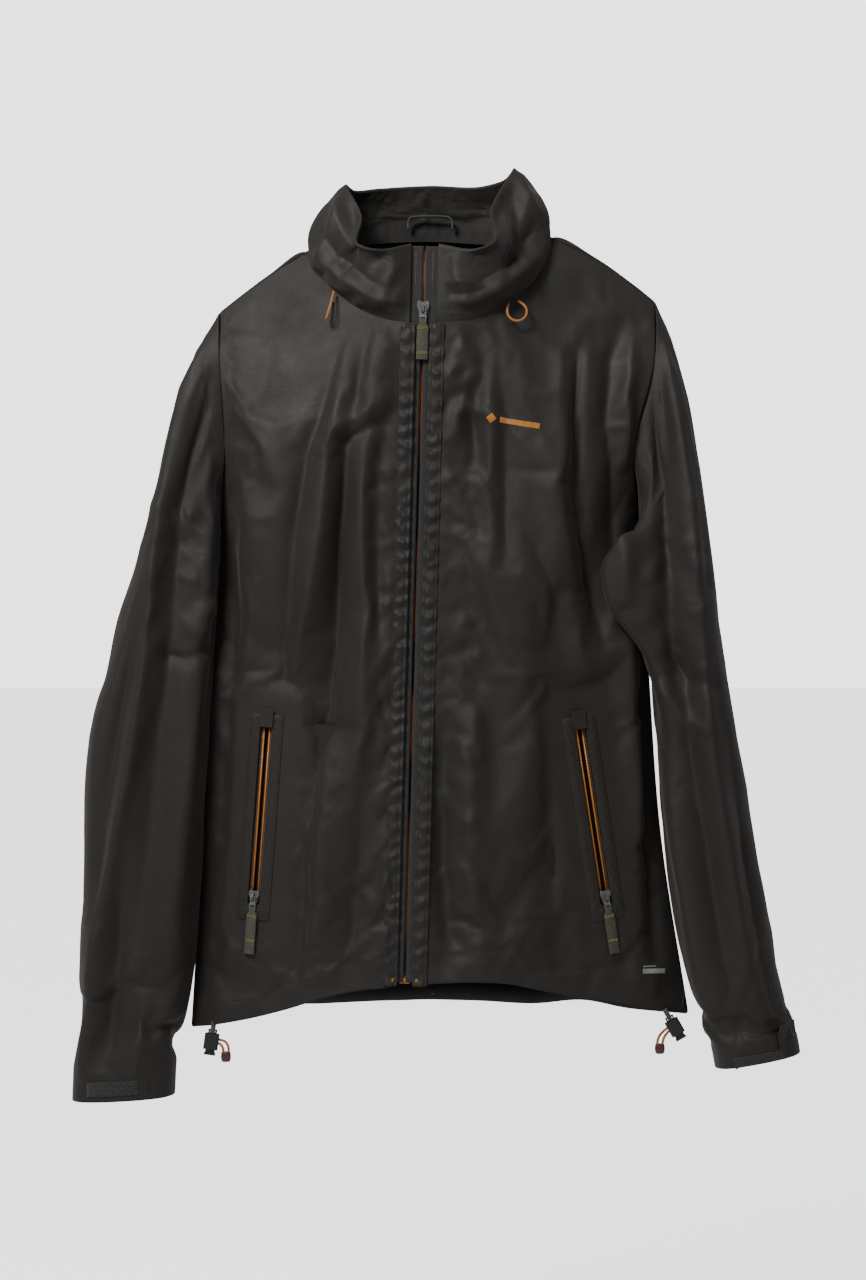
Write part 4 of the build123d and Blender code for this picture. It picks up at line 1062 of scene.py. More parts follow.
# %% [markdown]
# ## Small tools for fittings and stitches
# The small parts share a few ways of being made. A plate is an outline pulled to a thickness
# with softened edges. A loft joins sections along a line. A sewn row is a string of small
# spindles of thread, each laid on the cloth that it holds down.

# %% Plates, lofts and finished pieces
def rounded(width, height, radius, x=0.0, y=0.0, steps=4):
    """The outline of a rectangle with rounded corners, counter-clockwise."""
    points = []
    for corner, (sx, sy) in enumerate(((1, 1), (-1, 1), (-1, -1), (1, -1))):
        for step in range(steps + 1):
            angle = math.radians(90 * corner + 90 * step / steps)
            points.append((x + sx * (width / 2 - radius) + radius * math.cos(angle),
                           y + sy * (height / 2 - radius) + radius * math.sin(angle)))
    return points


def add_plate(build, outline, low, high):
    bottom = [build.verts.new((x, y, low)) for x, y in outline]
    top = [build.verts.new((x, y, high)) for x, y in outline]
    build.faces.new(bottom[::-1])
    build.faces.new(top)
    for i in range(len(outline)):
        k = (i + 1) % len(outline)
        build.faces.new((bottom[i], bottom[k], top[k], top[i]))


def add_ring(build, outer, inner, low, high):
    """A plate with a window. Both outlines have the same number of points."""
    loops = [[build.verts.new((x, y, z)) for x, y in line] for line in (outer, inner) for z in (low, high)]
    outer_low, outer_high, inner_low, inner_high = loops
    for i in range(len(outer)):
        k = (i + 1) % len(outer)
        build.faces.new((outer_low[i], outer_low[k], outer_high[k], outer_high[i]))
        build.faces.new((outer_high[i], outer_high[k], inner_high[k], inner_high[i]))
        build.faces.new((inner_high[i], inner_high[k], inner_low[k], inner_low[i]))
        build.faces.new((inner_low[i], inner_low[k], outer_low[k], outer_low[i]))


def add_loft(build, sections):
    """Sections are closed loops of 3-D points, all with the same count. Both ends are capped."""
    loops = [[build.verts.new(p) for p in section] for section in sections]
    for first, second in zip(loops, loops[1:]):
        for i in range(len(first)):
            k = (i + 1) % len(first)
            build.faces.new((first[i], first[k], second[k], second[i]))
    build.faces.new(loops[0][::-1])
    build.faces.new(loops[-1])


def add_bar(build, a, b, radius, sides=6):
    """A round bar between two points."""
    a, b = Vector(a), Vector(b)
    along = (b - a).normalized()
    side = along.orthogonal().normalized()
    other = along.cross(side)
    turns = [2 * math.pi * i / sides for i in range(sides)]
    ring_of = [side * math.cos(t) * radius + other * math.sin(t) * radius for t in turns]
    add_loft(build, [[a + r for r in ring_of], [b + r for r in ring_of]])


def fitting(name, build, place, material, body, nodes=(), bevel=0.25, smooth=0):
    """Makes the finished piece from a build in millimetres: placed, softened, on its body."""
    bmesh.ops.recalc_face_normals(build, faces=build.faces)
    mesh = bpy.data.meshes.new(name)
    build.to_mesh(mesh)
    build.free()
    mesh.transform(place @ Matrix.Scale(MM, 4))
    mesh.materials.append(material)
    mesh.shade_smooth()
    piece = bpy.data.objects.new(name, mesh)
    bpy.context.collection.objects.link(piece)
    if bevel:
        soft = piece.modifiers.new("soft edges", "BEVEL")
        soft.width = bevel * MM
        soft.segments = 2
        soft.limit_method = "ANGLE"
        soft.angle_limit = math.radians(35)
        soft.harden_normals = True
    if smooth:
        piece.modifiers.new("smooth", "SUBSURF").levels = smooth
    apply_modifiers(piece)
    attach(piece, body)
    if nodes:
        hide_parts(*nodes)
    return piece


def tape_section(y, width, thickness, z, round_by=0.35):
    """A rounded flat section across a ribbon at y."""
    radius = min(width, thickness) * round_by
    return [(x, y, z + t) for x, t in rounded(width, thickness, radius, steps=2)]


# %% Rows of stitches laid on a surface
def on_surface(target, x, z, lift=0.0, behind=False):
    """Where a line along Y at x, z meets the piece, seen from the front or from behind."""
    start = Vector((x * MM, 0.4 if behind else -0.4, z * MM))
    to_local = target.matrix_world.inverted()
    direction = Vector((0, -1 if behind else 1, 0))
    hit, place, normal, _ = target.ray_cast(to_local @ start, direction)
    if not hit:
        return None
    if normal.dot(direction) > 0:
        normal = -normal
    return (place + normal * lift * MM) / MM, normal


def even(path, pitch):
    """Points every pitch millimetres along a line of 2-D or 3-D points."""
    path = np.array(path, float)
    runs = np.concatenate([[0], np.cumsum(np.linalg.norm(np.diff(path, axis=0), axis=1))])
    places = np.arange(pitch / 2, runs[-1], pitch)
    return np.stack([np.interp(places, runs, path[:, i]) for i in range(path.shape[1])], axis=1)


def add_stitch(build, centre, along, up, length, width):
    """One stitch: a spindle of thread that dips at both ends."""
    along, up = Vector(along).normalized(), Vector(up).normalized()
    side = along.cross(up).normalized()
    centre = Vector(centre)
    tips = [build.verts.new(centre + along * (s * length / 2) - up * 0.25) for s in (-1, 1)]
    corners = ((-0.5, 0), (0, 0.7), (0.5, 0), (0, -0.4))
    middle = [build.verts.new(centre + side * a * width + up * b * width) for a, b in corners]
    for i in range(4):
        k = (i + 1) % 4
        build.faces.new((tips[0], middle[k], middle[i]))
        build.faces.new((tips[1], middle[i], middle[k]))


def sew(build, target, path, pitch=3.0, length=2.3, width=0.55, behind=False):
    """Stitches along a path of x, z points, laid on the target."""
    points = even(path, pitch)
    steps = np.gradient(points, axis=0)
    for (x, z), (dx, dz) in zip(points, steps):
        found = on_surface(target, x, z, 0.12, behind)
        ahead = on_surface(target, x + dx * 0.4, z + dz * 0.4, 0.12, behind)
        if found and ahead:
            add_stitch(build, found[0], ahead[0] - found[0], found[1], length, width)


def thread_piece(name, build, material, body):
    return fitting(name, build, Matrix.Identity(4), material, body, bevel=0)


# %% [markdown]
# ## Cords
# The limp loops at the collar and the drawcord's ends at the hem are free cords. Each is a
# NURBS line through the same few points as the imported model's tube, so it bends as softly
# as braided cord does. Two strands of each hem loop go down into a moulded bead.

# %% Free cords
HEM_CORD, COLLAR_CORD = 2.4, 2.2
CORD_ROUTES = {
    "hem_cord_loop_right": ([
        (-190.0, -58.0, -751.5), (-186.4, -59.0, -751.8), (-182.8, -60.8, -753.9), (-180.9, -62.0, -758.4),
        (-181.3, -62.0, -763.6), (-183.5, -62.0, -766.0), (-185.8, -62.0, -763.4), (-185.9, -61.6, -759.4),
        (-187.4, -59.8, -756.2), (-190.4, -58.0, -754.5)], HEM_CORD),
    "hem_cord_loop_left": ([
        (213.9, -52.0, -742.3), (210.3, -53.4, -744.6), (206.9, -55.8, -748.0), (204.8, -57.6, -752.6),
        (204.7, -58.0, -757.2), (207.0, -58.0, -759.4), (209.3, -58.0, -757.0), (209.6, -57.8, -753.0),
        (211.6, -54.6, -748.4), (215.4, -52.0, -744.9)], HEM_CORD),
    "collar_cord_right": ([
        (-86.5, -63.8, -78.5), (-87.6, -71.6, -85.0), (-89.0, -76.0, -92.6), (-90.6, -79.0, -99.2),
        (-92.2, -78.6, -103.6), (-92.8, -75.0, -104.4), (-91.6, -71.5, -99.6), (-89.8, -68.8, -92.4),
        (-88.2, -63.2, -85.6)], COLLAR_CORD),
    "collar_cord_left": ([
        (70.5, -70.8, -90.5), (68.2, -78.6, -97.0), (70.6, -80.6, -104.0), (77.4, -81.2, -107.6),
        (84.4, -79.6, -104.6), (87.2, -76.6, -98.0), (84.6, -74.0, -91.4),
        (79.4, -67.8, -87.5)], COLLAR_CORD),
}
BEAD_CENTRES = {"right": (-183.5, -62.0, -766.0), "left": (207.0, -58.0, -759.4)}


def bead_piece(name, centre):
    """A moulded end piece, fuller in the middle, with a collar round the hole for the cord."""
    sizes = ((-5.0, 0.62), (-4.2, 0.84), (-2.0, 0.98), (0.8, 1.0),
             (3.2, 0.92), (4.4, 0.80), (4.5, 0.70), (3.4, 0.62))
    build = bmesh.new()
    sections = []
    for z, share in sizes:
        sections.append([(x, y, z) for x, y in rounded(9.2 * share, 6.3 * share, 2.2 * share, steps=3)])
    add_loft(build, sections)
    place = Matrix.Translation([v * MM for v in centre])
    nodes = ["hem_cord_bead_" + name]
    return fitting("bead_" + name, build, place, BEAD, "root", nodes, bevel=0, smooth=1)


def cord_through(name, route, diameter, node_name, steps=8, roundness=4):
    """A braided cord through a route's points in millimetres, in place of a CAD cord."""
    curve = bpy.data.curves.new(name, "CURVE")
    curve.dimensions = "3D"
    line = curve.splines.new("NURBS")
    line.points.add(len(route) - 1)
    for point, place in zip(line.points, route):
        point.co = (*[v * MM for v in place], 1)
    line.order_u = 3
    line.use_endpoint_u = True
    line.resolution_u = steps
    curve.bevel_depth = diameter / 2 * MM
    curve.bevel_resolution = roundness
    curve.use_fill_caps = True
    curve.materials.append(CORD)
    piece = bpy.data.objects.new(name, curve)
    bpy.context.collection.objects.link(piece)
    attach(piece, "root")
    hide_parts(node_name)
    return piece


beads = {name: bead_piece(name, centre) for name, centre in BEAD_CENTRES.items()}
for name, (route, diameter) in CORD_ROUTES.items():
    cord_through("free_" + name, route, diameter, name)
print("cords", list(CORD_ROUTES))


# %% [markdown]
# ## The centre front
# A storm flap covers each side of the zip. It is a narrow folded strip, sewn down with two
# rows and longer than the tape it is sewn to, so the sewing gathers it into puckers. That
# gathering is the most characteristic thing about the centre of this jacket. The flaps leave
# a narrow slot, in which the slider runs and the orange coil shows as a thin line.

# %% Storm flaps
FLAP_IN, FLAP_OUT = 6.3, 19.5
FLAP_LOW, FLAP_HIGH = -1.0, 588.0


def on_zip(across, along, out):
    """A point in the zip's plane, in millimetres in the frame."""
    return ZIP_PLANE @ (Vector((across, along, out)) * MM) / MM


def pucker_noise(seed, count, pitch):
    """Uneven ripples along a strip: sine waves whose pitch drifts, with random strength."""
    rng = np.random.default_rng(seed)
    steps = pitch * rng.uniform(0.6, 1.5, count)
    places = np.cumsum(steps) - steps[0]
    heights = rng.uniform(0.2, 1.0, count) * np.where(np.arange(count) % 2, -1, 1)
    return lambda at: np.interp(at, places, heights)


FLAP_CELLS, FLAP_STEPS = 12, 330
for side, name in SIDES.items():
    along = np.linspace(FLAP_LOW, FLAP_HIGH, FLAP_STEPS + 1)
    ripples = [pucker_noise(90 + side * 3 + k, 170, 6.6) for k in range(3)]
    rows = []
    for y in along:
        row = []
        for k in range(FLAP_CELLS + 1):
            t = k / FLAP_CELLS
            across = FLAP_IN + (FLAP_OUT - FLAP_IN) * t
            sewn = math.exp(-((t - 0.22) / 0.07) ** 2) + math.exp(-((t - 0.86) / 0.07) ** 2)
            puff = 0.9 * math.sin(math.pi * min(max(t, 0), 1)) ** 0.5
            wave = ripples[0](y + 5 * t) * (1 - t) + ripples[1](y - 4 * t) * t
            wave = wave * (0.7 + 0.7 * math.sin(math.pi * t)) * (1 - 0.4 * min(sewn, 1))
            out = 3.5 + puff + 2.1 * wave - 0.6 * min(sewn, 1)
            edge = 0.45 * ripples[2](y) * (1 - t) ** 2
            place = on_zip(side * (across + edge), y, out)
            if across > 12.5:
                below = on_surface(front_pieces[side], place.x, place.z)
                if below:
                    place.y = min(place.y, below[0].y - 0.5 - 0.8 * (1 - t) - 0.4 * max(wave, 0))
            row.append(tuple(place))
        rows.append(row)
    grid = np.array(rows)
    flap = grid_object("storm_flap_" + name + "_cloth", grid[:, ::-1] if side > 0 else grid, [SHELL, BACKER])
    if flap.data.polygons[100].normal.y > 0:
        flap.data.flip_normals()
    thicken(flap, thickness=0.8, smooth=1)
    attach(flap, "root")
    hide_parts("storm_flap_" + name)
    build = bmesh.new()
    for across in (8.9, 10.4, 17.2, 18.6):
        path = [tuple(on_zip(side * across, y, 0)[i] for i in (0, 2)) for y in (2, 300, 585)]
        sew(build, flap, path, pitch=2.9, length=2.2, width=0.5)
    thread_piece("flap_stitches_" + name, build, THREAD, "root")
    build = bmesh.new()
    for across in (2.4, 5.0):
        for x, y in even([(side * across, 4), (side * across, ZIP_LENGTH - 4)], 3.0):
            add_stitch(build, (x, y, 0.0), (0.1 * side, 1, 0), (0, 0, 1), 2.3, 0.5)
    fitting("tape_stitches_" + name, build, ZIP_PLANE, THREAD, "root", bevel=0)
print("storm flaps with two double rows of stitches")


# %% Centre zip coils
def add_teeth(build, side, near, far, low, high, start, end, pitch):
    """One side's coil: a small slanted loop for each tooth, and the wire that joins them."""
    count = int((end - start) / pitch)
    for i in range(count):
        y = start + (i + (0.5 if side > 0 else 0.0)) * pitch
        middle = (low + high) / 2
        add_bar(build, (side * near, y, middle), (side * far, y + pitch * 0.3, high - 0.3), 0.42, sides=4)
    add_bar(build, (side * far, start, high - 0.5), (side * far, end, high - 0.5), 0.45, sides=5)


for side, name in SIDES.items():
    build = bmesh.new()
    add_teeth(build, side, 0.35, 3.3, -2.5, -0.85, 12, ZIP_LENGTH - 4, 1.5)
    add_bar(build, (side * 1.1, 12, -0.75), (side * 1.1, ZIP_LENGTH - 4, -0.75), 0.35, sides=5)
    nodes = ["zip_coil_" + name]
    fitting("centre_coil_" + name, build, ZIP_PLANE, CENTRE_COIL, "root", nodes, bevel=0)
print("centre coils")


# %% [markdown]
# ### Slider, pull tab and ribbon
# A coil slider is a die-cast wedge: two shoulders where the coils come in, a waist, and a
# bridge that the pull hangs from. Its tab has a window, and a folded ribbon is sewn through
# it with two bars of bright thread so that a gloved hand can find it.

# %% One way to make every slider and pull
PULL_HALF_THICK = 0.6


def mirrored(right_half):
    """A closed outline from its right half, listed from the bottom up."""
    return right_half + [(-x, y) for x, y in reversed(right_half)]


def slider_piece(name, place, body, node, width, length, low, roof, floor, material=ENAMEL):
    half, high = width / 2, length / 2
    build = bmesh.new()
    outline = mirrored([
        (half * 0.62, -high), (half * 0.72, -high * 0.2), (half, high * 0.35),
        (half * 0.95, high * 0.8), (half * 0.7, high), (half * 0.25, high * 0.86),
    ])
    add_plate(build, outline, low, roof)
    add_plate(build, [(x * 0.92, y * 0.95) for x, y in outline], floor, floor + 1.2)
    bridge = [(-3.3, roof - 0.2), (-3.1, roof + 2.2), (-2.0, roof + 3.2), (0, roof + 3.4), (2.0, roof + 3.2),
              (3.1, roof + 2.2), (3.3, roof - 0.2)]
    inner = [(-2.1, roof - 0.2), (-2.1, roof + 1.7), (-1.5, roof + 2.2), (0, roof + 2.4), (1.5, roof + 2.2),
             (2.1, roof + 1.7), (2.1, roof - 0.2)]
    sections = []
    for (y0, z0), (y1, z1) in zip(bridge, inner):
        sections.append([(-0.8, y0, z0), (0.8, y0, z0), (0.8, y1, z1), (-0.8, y1, z1)])
    add_loft(build, sections)
    return fitting(name, build, place, material, body, [node], bevel=0.3)


def pull_piece(name, place, body, node, roof, width=6.0, length=13.0):
    z = roof + 1.2
    build = bmesh.new()
    low, high = z - PULL_HALF_THICK, z + PULL_HALF_THICK
    edge = width / 2
    add_plate(build, mirrored([(edge, -length + 6.4), (width * 0.42, -4.6)]), low, high)
    frame_edge = mirrored([(width * 0.36, -length), (edge, -length + 1), (edge, -length + 6.6)])
    window = mirrored([(edge - 1.7, -length + 1.5), (edge - 1.2, -length + 2), (edge - 1.2, -length + 5.4)])
    add_ring(build, frame_edge, window, low, high)
    for s in (-1, 1):
        arm = [(s * 1.2, -5.0), (s * width * 0.44, -5.0), (s * width * 0.42, 0.2), (s * 1.2, 0.2)]
        add_plate(build, arm[::s], low, high)
    add_bar(build, (-width * 0.42, 0, z), (width * 0.42, 0, z), 0.7, sides=10)
    return fitting(name, build, place, ENAMEL, body, [node], bevel=0.22)


def ribbon_piece(name, place, body, node, roof, length=37.0, width=10.6, tab=13.0):
    z = roof + 1.2
    top = -tab + 4.6
    build = bmesh.new()
    sections = [
        tape_section(top, 3.0, 1.3, z),
        tape_section(top - 2.2, 3.2, 1.4, z),
        tape_section(top - 4.8, width * 0.62, 1.9, z + 0.1),
        tape_section(top - 7.0, width * 0.96, 2.2, z),
        tape_section(top - 9.0, width, 1.7, z - 0.15),
        tape_section(top - 14.0, width * 0.98, 2.4, z + 0.05),
        tape_section(top - 22.0, width * 1.01, 2.5, z + 0.2),
        tape_section(top - 28.0, width * 0.98, 2.3, z),
        tape_section(top - 31.0, width, 1.7, z - 0.1),
        tape_section(top - length + 1.0, width * 0.99, 2.4, z + 0.1),
        tape_section(top - length, width * 0.96, 2.0, z + 0.1),
    ]
    add_loft(build, sections)
    piece = fitting(name, build, place, RIBBON, body, [node], bevel=0.15)
    build = bmesh.new()
    for y in (top - 9.0, top - 31.0):
        for row in (-0.8, 0.0, 0.8):
            for step in range(9):
                x = -width / 2 + 1.0 + step * (width - 2.0) / 8
                lean = 0.25 if step % 2 else -0.25
                add_stitch(build, (x, y + row, z + 1.0), (1, lean, 0), (0, 0, 1), 1.5, 0.6)
    fitting(name + "_bars", build, place, STITCH_BAR, body, bevel=0)
    return piece


ZIP_REST, CENTRE_ROOF = 601.0, 2.1
rest = ZIP_PLANE @ Matrix.Translation((0, ZIP_REST * MM, 0))
slider_piece("centre_slider_body", rest, "center_slider", "center_slider", 11.0, 15.0, 0.3, CENTRE_ROOF, -4.3)
pull_piece("centre_pull", rest, "center_pull", "center_pull_tab", CENTRE_ROOF)
ribbon_piece("centre_ribbon", rest, "center_pull", "center_pull_ribbon", CENTRE_ROOF)
print("centre slider, pull and ribbon")


# %% [markdown]
# ## The hand pockets
# Each hand pocket has an open zip whose slider is parked at its foot. The slot is framed by a
# welt that is sewn down round both edges, and a small garage is sewn over its top, for the
# slider to hide under when the pocket is closed. The tapes' edges and the coil are orange.

# %% Pocket welts, garages and zips
POCKET_ZIP = 156.0
WELT_AROUND, WELT_ACROSS = 260, 6


def outline_at(half, low, high, count, radius):
    """Evenly spaced points round a tall rounded rectangle."""
    line = rounded(2 * half, high - low, radius, 0, (high + low) / 2, steps=6)
    line = np.array(line + [line[0]])
    runs = np.concatenate([[0], np.cumsum(np.linalg.norm(np.diff(line, axis=0), axis=1))])
    at = np.arange(count) / count * runs[-1]
    return np.stack([np.interp(at, runs, line[:, 0]), np.interp(at, runs, line[:, 1])], axis=1)


for side, name in SIDES.items():
    ripple = pucker_noise(120 + side, 90, 6.0)
    spread = 1.6 if side > 0 else 0.8
    rows = []
    for k in range(WELT_ACROSS + 1):
        t = k / WELT_ACROSS
        half = 5.6 + 10.4 * t
        loop = outline_at(half, -7.5 - 14.5 * t, 158 + 6 * t, WELT_AROUND, 2.0 + 2.0 * t)
        sewn = math.exp(-((t - 0.18) / 0.1) ** 2) + math.exp(-((t - 0.88) / 0.08) ** 2)
        wave = ripple(np.linspace(0, 370, WELT_AROUND) % 365)
        crown = 1.2 * math.sin(math.pi * min(0.12 + 0.88 * t, 1)) ** 0.6
        out = 0.35 + crown + 0.28 * spread * wave * math.sin(math.pi * t) - 0.35 * sewn
        out = np.maximum(out, 0.12)
        rows.append(np.stack([loop[:, 0], loop[:, 1], out], axis=1))
    grid = carried(POCKET_PLANE[side], rows)
    welt = grid_object("welt_" + name, grid, [SHELL, BACKER], closed=True)
    if welt.data.polygons[len(welt.data.polygons) // 2].normal.y > 0:
        welt.data.flip_normals()
    thicken(welt, thickness=0.6, smooth=1)
    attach(welt, "root")
    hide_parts("pocket_welt_" + name)

    build = bmesh.new()
    for half, low, high in ((7.4, -9.5, 159.5), (14.6, -20.0, 163)):
        loop = carried(POCKET_PLANE[side], np.c_[outline_at(half, low, high, 120, 2.5), np.zeros(120)])
        sew(build, welt, loop[:, [0, 2]], pitch=2.9, length=2.1, width=0.5)
    thread_piece("welt_stitches_" + name, build, THREAD, "root")

    build = bmesh.new()
    add_plate(build, rounded(13.0, 17.0, 1.5, 0, POCKET_ZIP + 4.5), 1.9, 2.9)
    place = POCKET_PLANE[side]
    fitting("garage_" + name, build, place, SHELL, "root", ["pocket_garage_" + name], bevel=0.35)
    build = bmesh.new()
    low, high = POCKET_ZIP - 2, POCKET_ZIP + 11
    rows = ((-5.3, low, -5.3, high), (5.3, low, 5.3, high), (-5, high + 0.6, 5, high + 0.6))
    for x0, y0, x1, y1 in rows:
        for x, y in even([(x0, y0), (x1, y1)], 2.2):
            add_stitch(build, (x, y, 3.0), (x1 - x0, y1 - y0, 0), (0, 0, 1), 1.7, 0.5)
    fitting("garage_stitches_" + name, build, place, THREAD, "root", bevel=0)

    build = bmesh.new()
    for s in (-1, 1):
        add_teeth(build, s, 2.5, 4.1, -4.3, -2.8, -6, POCKET_ZIP + 2, 1.4)
        add_bar(build, (s * 2.6, -6, -2.0), (s * 2.6, POCKET_ZIP + 2, -2.0), 0.75, sides=8)
        for x, y in even([(s * 4.4, -5), (s * 4.4, POCKET_ZIP + 1)], 2.4):
            add_stitch(build, (x, y, -1.75), (0, 1, 0), (0, 0, 1), 1.8, 0.55)
    nodes = ["pocket_zip_coil_" + name]
    fitting("pocket_coil_" + name, build, place, COIL, "root", nodes, bevel=0)

    foot = place @ Matrix.Translation((0, -0.5 * MM, 0))
    roof = 1.7
    slider, pull = "pocket_slider_" + name, "pocket_pull_" + name
    slider_piece(slider + "_body", foot, slider, slider, 10.2, 12.0, -1.0, roof, -6.2)
    pull_piece(pull + "_tab", foot, pull, "pocket_pull_tab_" + name, roof)
    ribbon_piece("pocket_ribbon_" + name, foot, pull, "pocket_pull_ribbon_" + name, roof, 43.0, 9.6)
print("pockets with welts, garages, coils and pulls")


# %% [markdown]
# ## The hem's channel and drawcord
# A drawcord runs round the hem in a channel turned up on the inside. The channel is the
# lowest rows of each panel, moved inwards to make a small pocket, and the cord is drawn
# through the middle of it. Both fronts and the back share the cord.

# %% Hem channel
CHANNEL = ((0, 0.5), (0, 2.2), (1, 5.4), (2, 5.8), (3, 4.6), (4, 1.6), (4, 0.4))


def inward_of(grid, sign):
    normal = normals_of(grid)
    return normal * (sign if normal[:, :, 1].mean() > 0 else -sign)


hem_line = {}
for name, grid, sign in (("right", fronts[RIGHT], 1), ("left", fronts[LEFT], 1), ("back", back, -1)):
    inward = inward_of(grid, sign)
    rows = [grid[-1 - up] + inward[-1 - up] * deep for up, deep in CHANNEL]
    channel = grid_object("hem_channel_" + name, np.array(rows), [BACKER, BACKER])
    channel.modifiers.new("smooth", "SUBSURF").levels = 1
    apply_modifiers(channel)
    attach(channel, "root")
    hem_line[name] = grid[-2] + (grid[-3] - grid[-2]) * 0.5 + inward[-2] * 3.4

right_run, back_run = hem_line["right"][3:-1:6], hem_line["back"][::-1][4:-4:6]
route = np.concatenate([right_run, back_run, hem_line["left"][::-1][1:-3:6]])
cord_through("hem_cord_in_channel", route, HEM_CORD, "hem_drawcord", steps=12, roundness=3)
print("hem channel in three parts, cord through", len(route), "points")


# %% [markdown]
# ## Cuffs
# Each cuff closes with a stiff tab whose inner side grips a soft loop strip on the sleeve.
# The strip is laid on the sleeve's own surface, so it follows its folds. The tab is a plate
# with cut corners and a sewn border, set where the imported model's tab is.

# %% Patches laid on cloth, and the cuff pieces
def laid_patch(name, target, centre, width, height, turn, material, body, nodes=(),
               lift=0.5, thickness=0.5, cells=(24, 8), behind=False):
    """A thin rectangle that follows the surface under it."""
    angle = math.radians(turn)
    rows = []
    for v in np.linspace(0.5, -0.5, cells[1] + 1):
        row = []
        for u in np.linspace(-0.5, 0.5, cells[0] + 1):
            dx, dz = u * width, v * height
            x = centre[0] + dx * math.cos(angle) - dz * math.sin(angle)
            z = centre[1] + dx * math.sin(angle) + dz * math.cos(angle)
            found = on_surface(target, x, z, lift, behind)
            row.append(tuple(found[0]) if found else (row[-1] if row else rows[-1][0]))
        rows.append(row)
    patch_piece = grid_object(name, np.array(rows), [material])
    if patch_piece.data.polygons[0].normal.y > 0:
        patch_piece.data.flip_normals()
    solid = patch_piece.modifiers.new("thickness", "SOLIDIFY")
    solid.thickness = thickness * MM
    solid.offset = -1
    soft = patch_piece.modifiers.new("soft edges", "BEVEL")
    soft.width = 0.15 * MM
    soft.limit_method = "ANGLE"
    apply_modifiers(patch_piece)
    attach(patch_piece, body)
    if nodes:
        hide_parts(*nodes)
    return patch_piece


def corners_of(node_name):
    """A CAD node's corners, in metres."""
    return np.array([v.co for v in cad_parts[node_name].data.vertices])


def own_axes(points):
    """The directions in which a set of points is longest, less long and thinnest."""
    return [Vector(axis) for axis in np.linalg.svd(points - points.mean(axis=0), full_matrices=False)[2]]


def plane_of(node_name, towards, hinge):
    """A thin CAD plate's own plane: x from its hinge to its free end, z away from the sleeve."""
    points = corners_of(node_name)
    x, _, z = own_axes(points)
    middle = Vector(points.mean(axis=0))
    if x.dot(middle - Vector(hinge) * MM) < 0:
        x = -x
    if z.dot(middle - Vector(towards) * MM) < 0:
        z = -z
    y = z.cross(x)
    return Matrix.Translation(middle) @ Matrix((x, y, z)).transposed().to_4x4()


CUFFS = {
    RIGHT: {"strip": (-284, -793, 46, 13, 4), "middle": (-277, -44, -795), "hinge": (-230, -44, -787)},
    LEFT: {"strip": (296, -768, 46, 13, 9), "middle": (296, -46, -765), "hinge": (332, -50, -746)},
}
for side, name in SIDES.items():
    cuff = CUFFS[side]
    x, z, width, height, turn = cuff["strip"]
    laid_patch("loop_strip_" + name, sleeve_pieces[side], (x, z), width, height, turn, PILE,
               "sleeve_" + name, ["cuff_loop_strip_" + name], lift=1.0, thickness=0.9)
    place = plane_of("cuff_tab_" + name, cuff["middle"], cuff["hinge"])
    build = bmesh.new()
    outline = [(-17, -13), (11, -13), (17, -7), (17, 7), (11, 13), (-17, 13)]
    add_plate(build, outline, -0.6, 0.6)
    add_plate(build, [(x * 0.93 - 0.4, y * 0.90) for x, y in outline], 0.5, 0.85)
    tab = "cuff_tab_" + name
    fitting("tab_" + name, build, place, SHELL, tab, [tab], bevel=0.3)
    build = bmesh.new()
    border = [(-14.5, -10.6), (10.2, -10.6), (14.6, -6.2), (14.6, 6.2), (10.2, 10.6), (-14.5, 10.6)]
    border.append(border[0])
    points = even(border, 2.8)
    for (px, py), (dx, dy) in zip(points, np.gradient(points, axis=0)):
        add_stitch(build, (px, py, 0.95), (dx, dy, 0), (0, 0, 1), 2.1, 0.5)
    fitting("tab_stitches_" + name, build, place, THREAD, tab, bevel=0)
    build = bmesh.new()
    sections = []
    for y in np.linspace(-12, 12, 13):
        root = Vector((-17.0, y, -0.1))
        under = place @ (Vector((-9.0, y, -5.0)) * MM)
        landing = place.inverted() @ sleeve_pieces[side].closest_point_on_mesh(under)[1] / MM
        between = (root + landing) / 2
        upper = [(root, 0.45), (between, 0.7), (landing, 0.3)]
        section = upper + [(landing, -0.5), (between, -0.3), (root, -0.45)]
        sections.append([point + Vector((0, 0, lift)) for point, lift in section])
    add_loft(build, sections)
    fitting("tab_root_" + name, build, place, SHELL, "sleeve_" + name, bevel=0)
print("cuff strips and tabs")


# %% [markdown]
# ## Trim
# The hang loop is a woven tape whose ends are caught in the neck seam. A blank label is sewn
# below it. The chest mark and the hem mark are plain raised patches without any words.

# %% Hang loop, label and marks
build = bmesh.new()
LOOP_PATH = [(-20.2, -12.9), (-20.3, -7), (-19.6, -3.4), (-16.5, -1.4), (-10, -0.75), (0, -0.7), (10, -0.75),
             (16.5, -1.4), (19.6, -3.4), (20.3, -7), (20.2, -12.9)]
LOOP_HALF = 2.9
steps = np.gradient(np.array(LOOP_PATH), axis=0)
sections = []
for (x, z), (dx, dz) in zip(LOOP_PATH, steps):
    size = math.hypot(dx, dz)
    nx, nz = -dz / size * 0.65, dx / size * 0.65
    above, below = (x + nx, z + nz), (x - nx, z - nz)
    edges = ((above, -LOOP_HALF), (above, LOOP_HALF), (below, LOOP_HALF), (below, -LOOP_HALF))
    sections.append([(px, y, pz) for (px, pz), y in edges])
add_loft(build, sections)
fitting("loop_band", build, Matrix.Identity(4), LOOP_TAPE, "root", ["hang_loop"], bevel=0.2)

laid_patch("blank_neck_label", back_piece, (0, -52), 34, 22, 0, LABEL, "root", ["neck_label"])

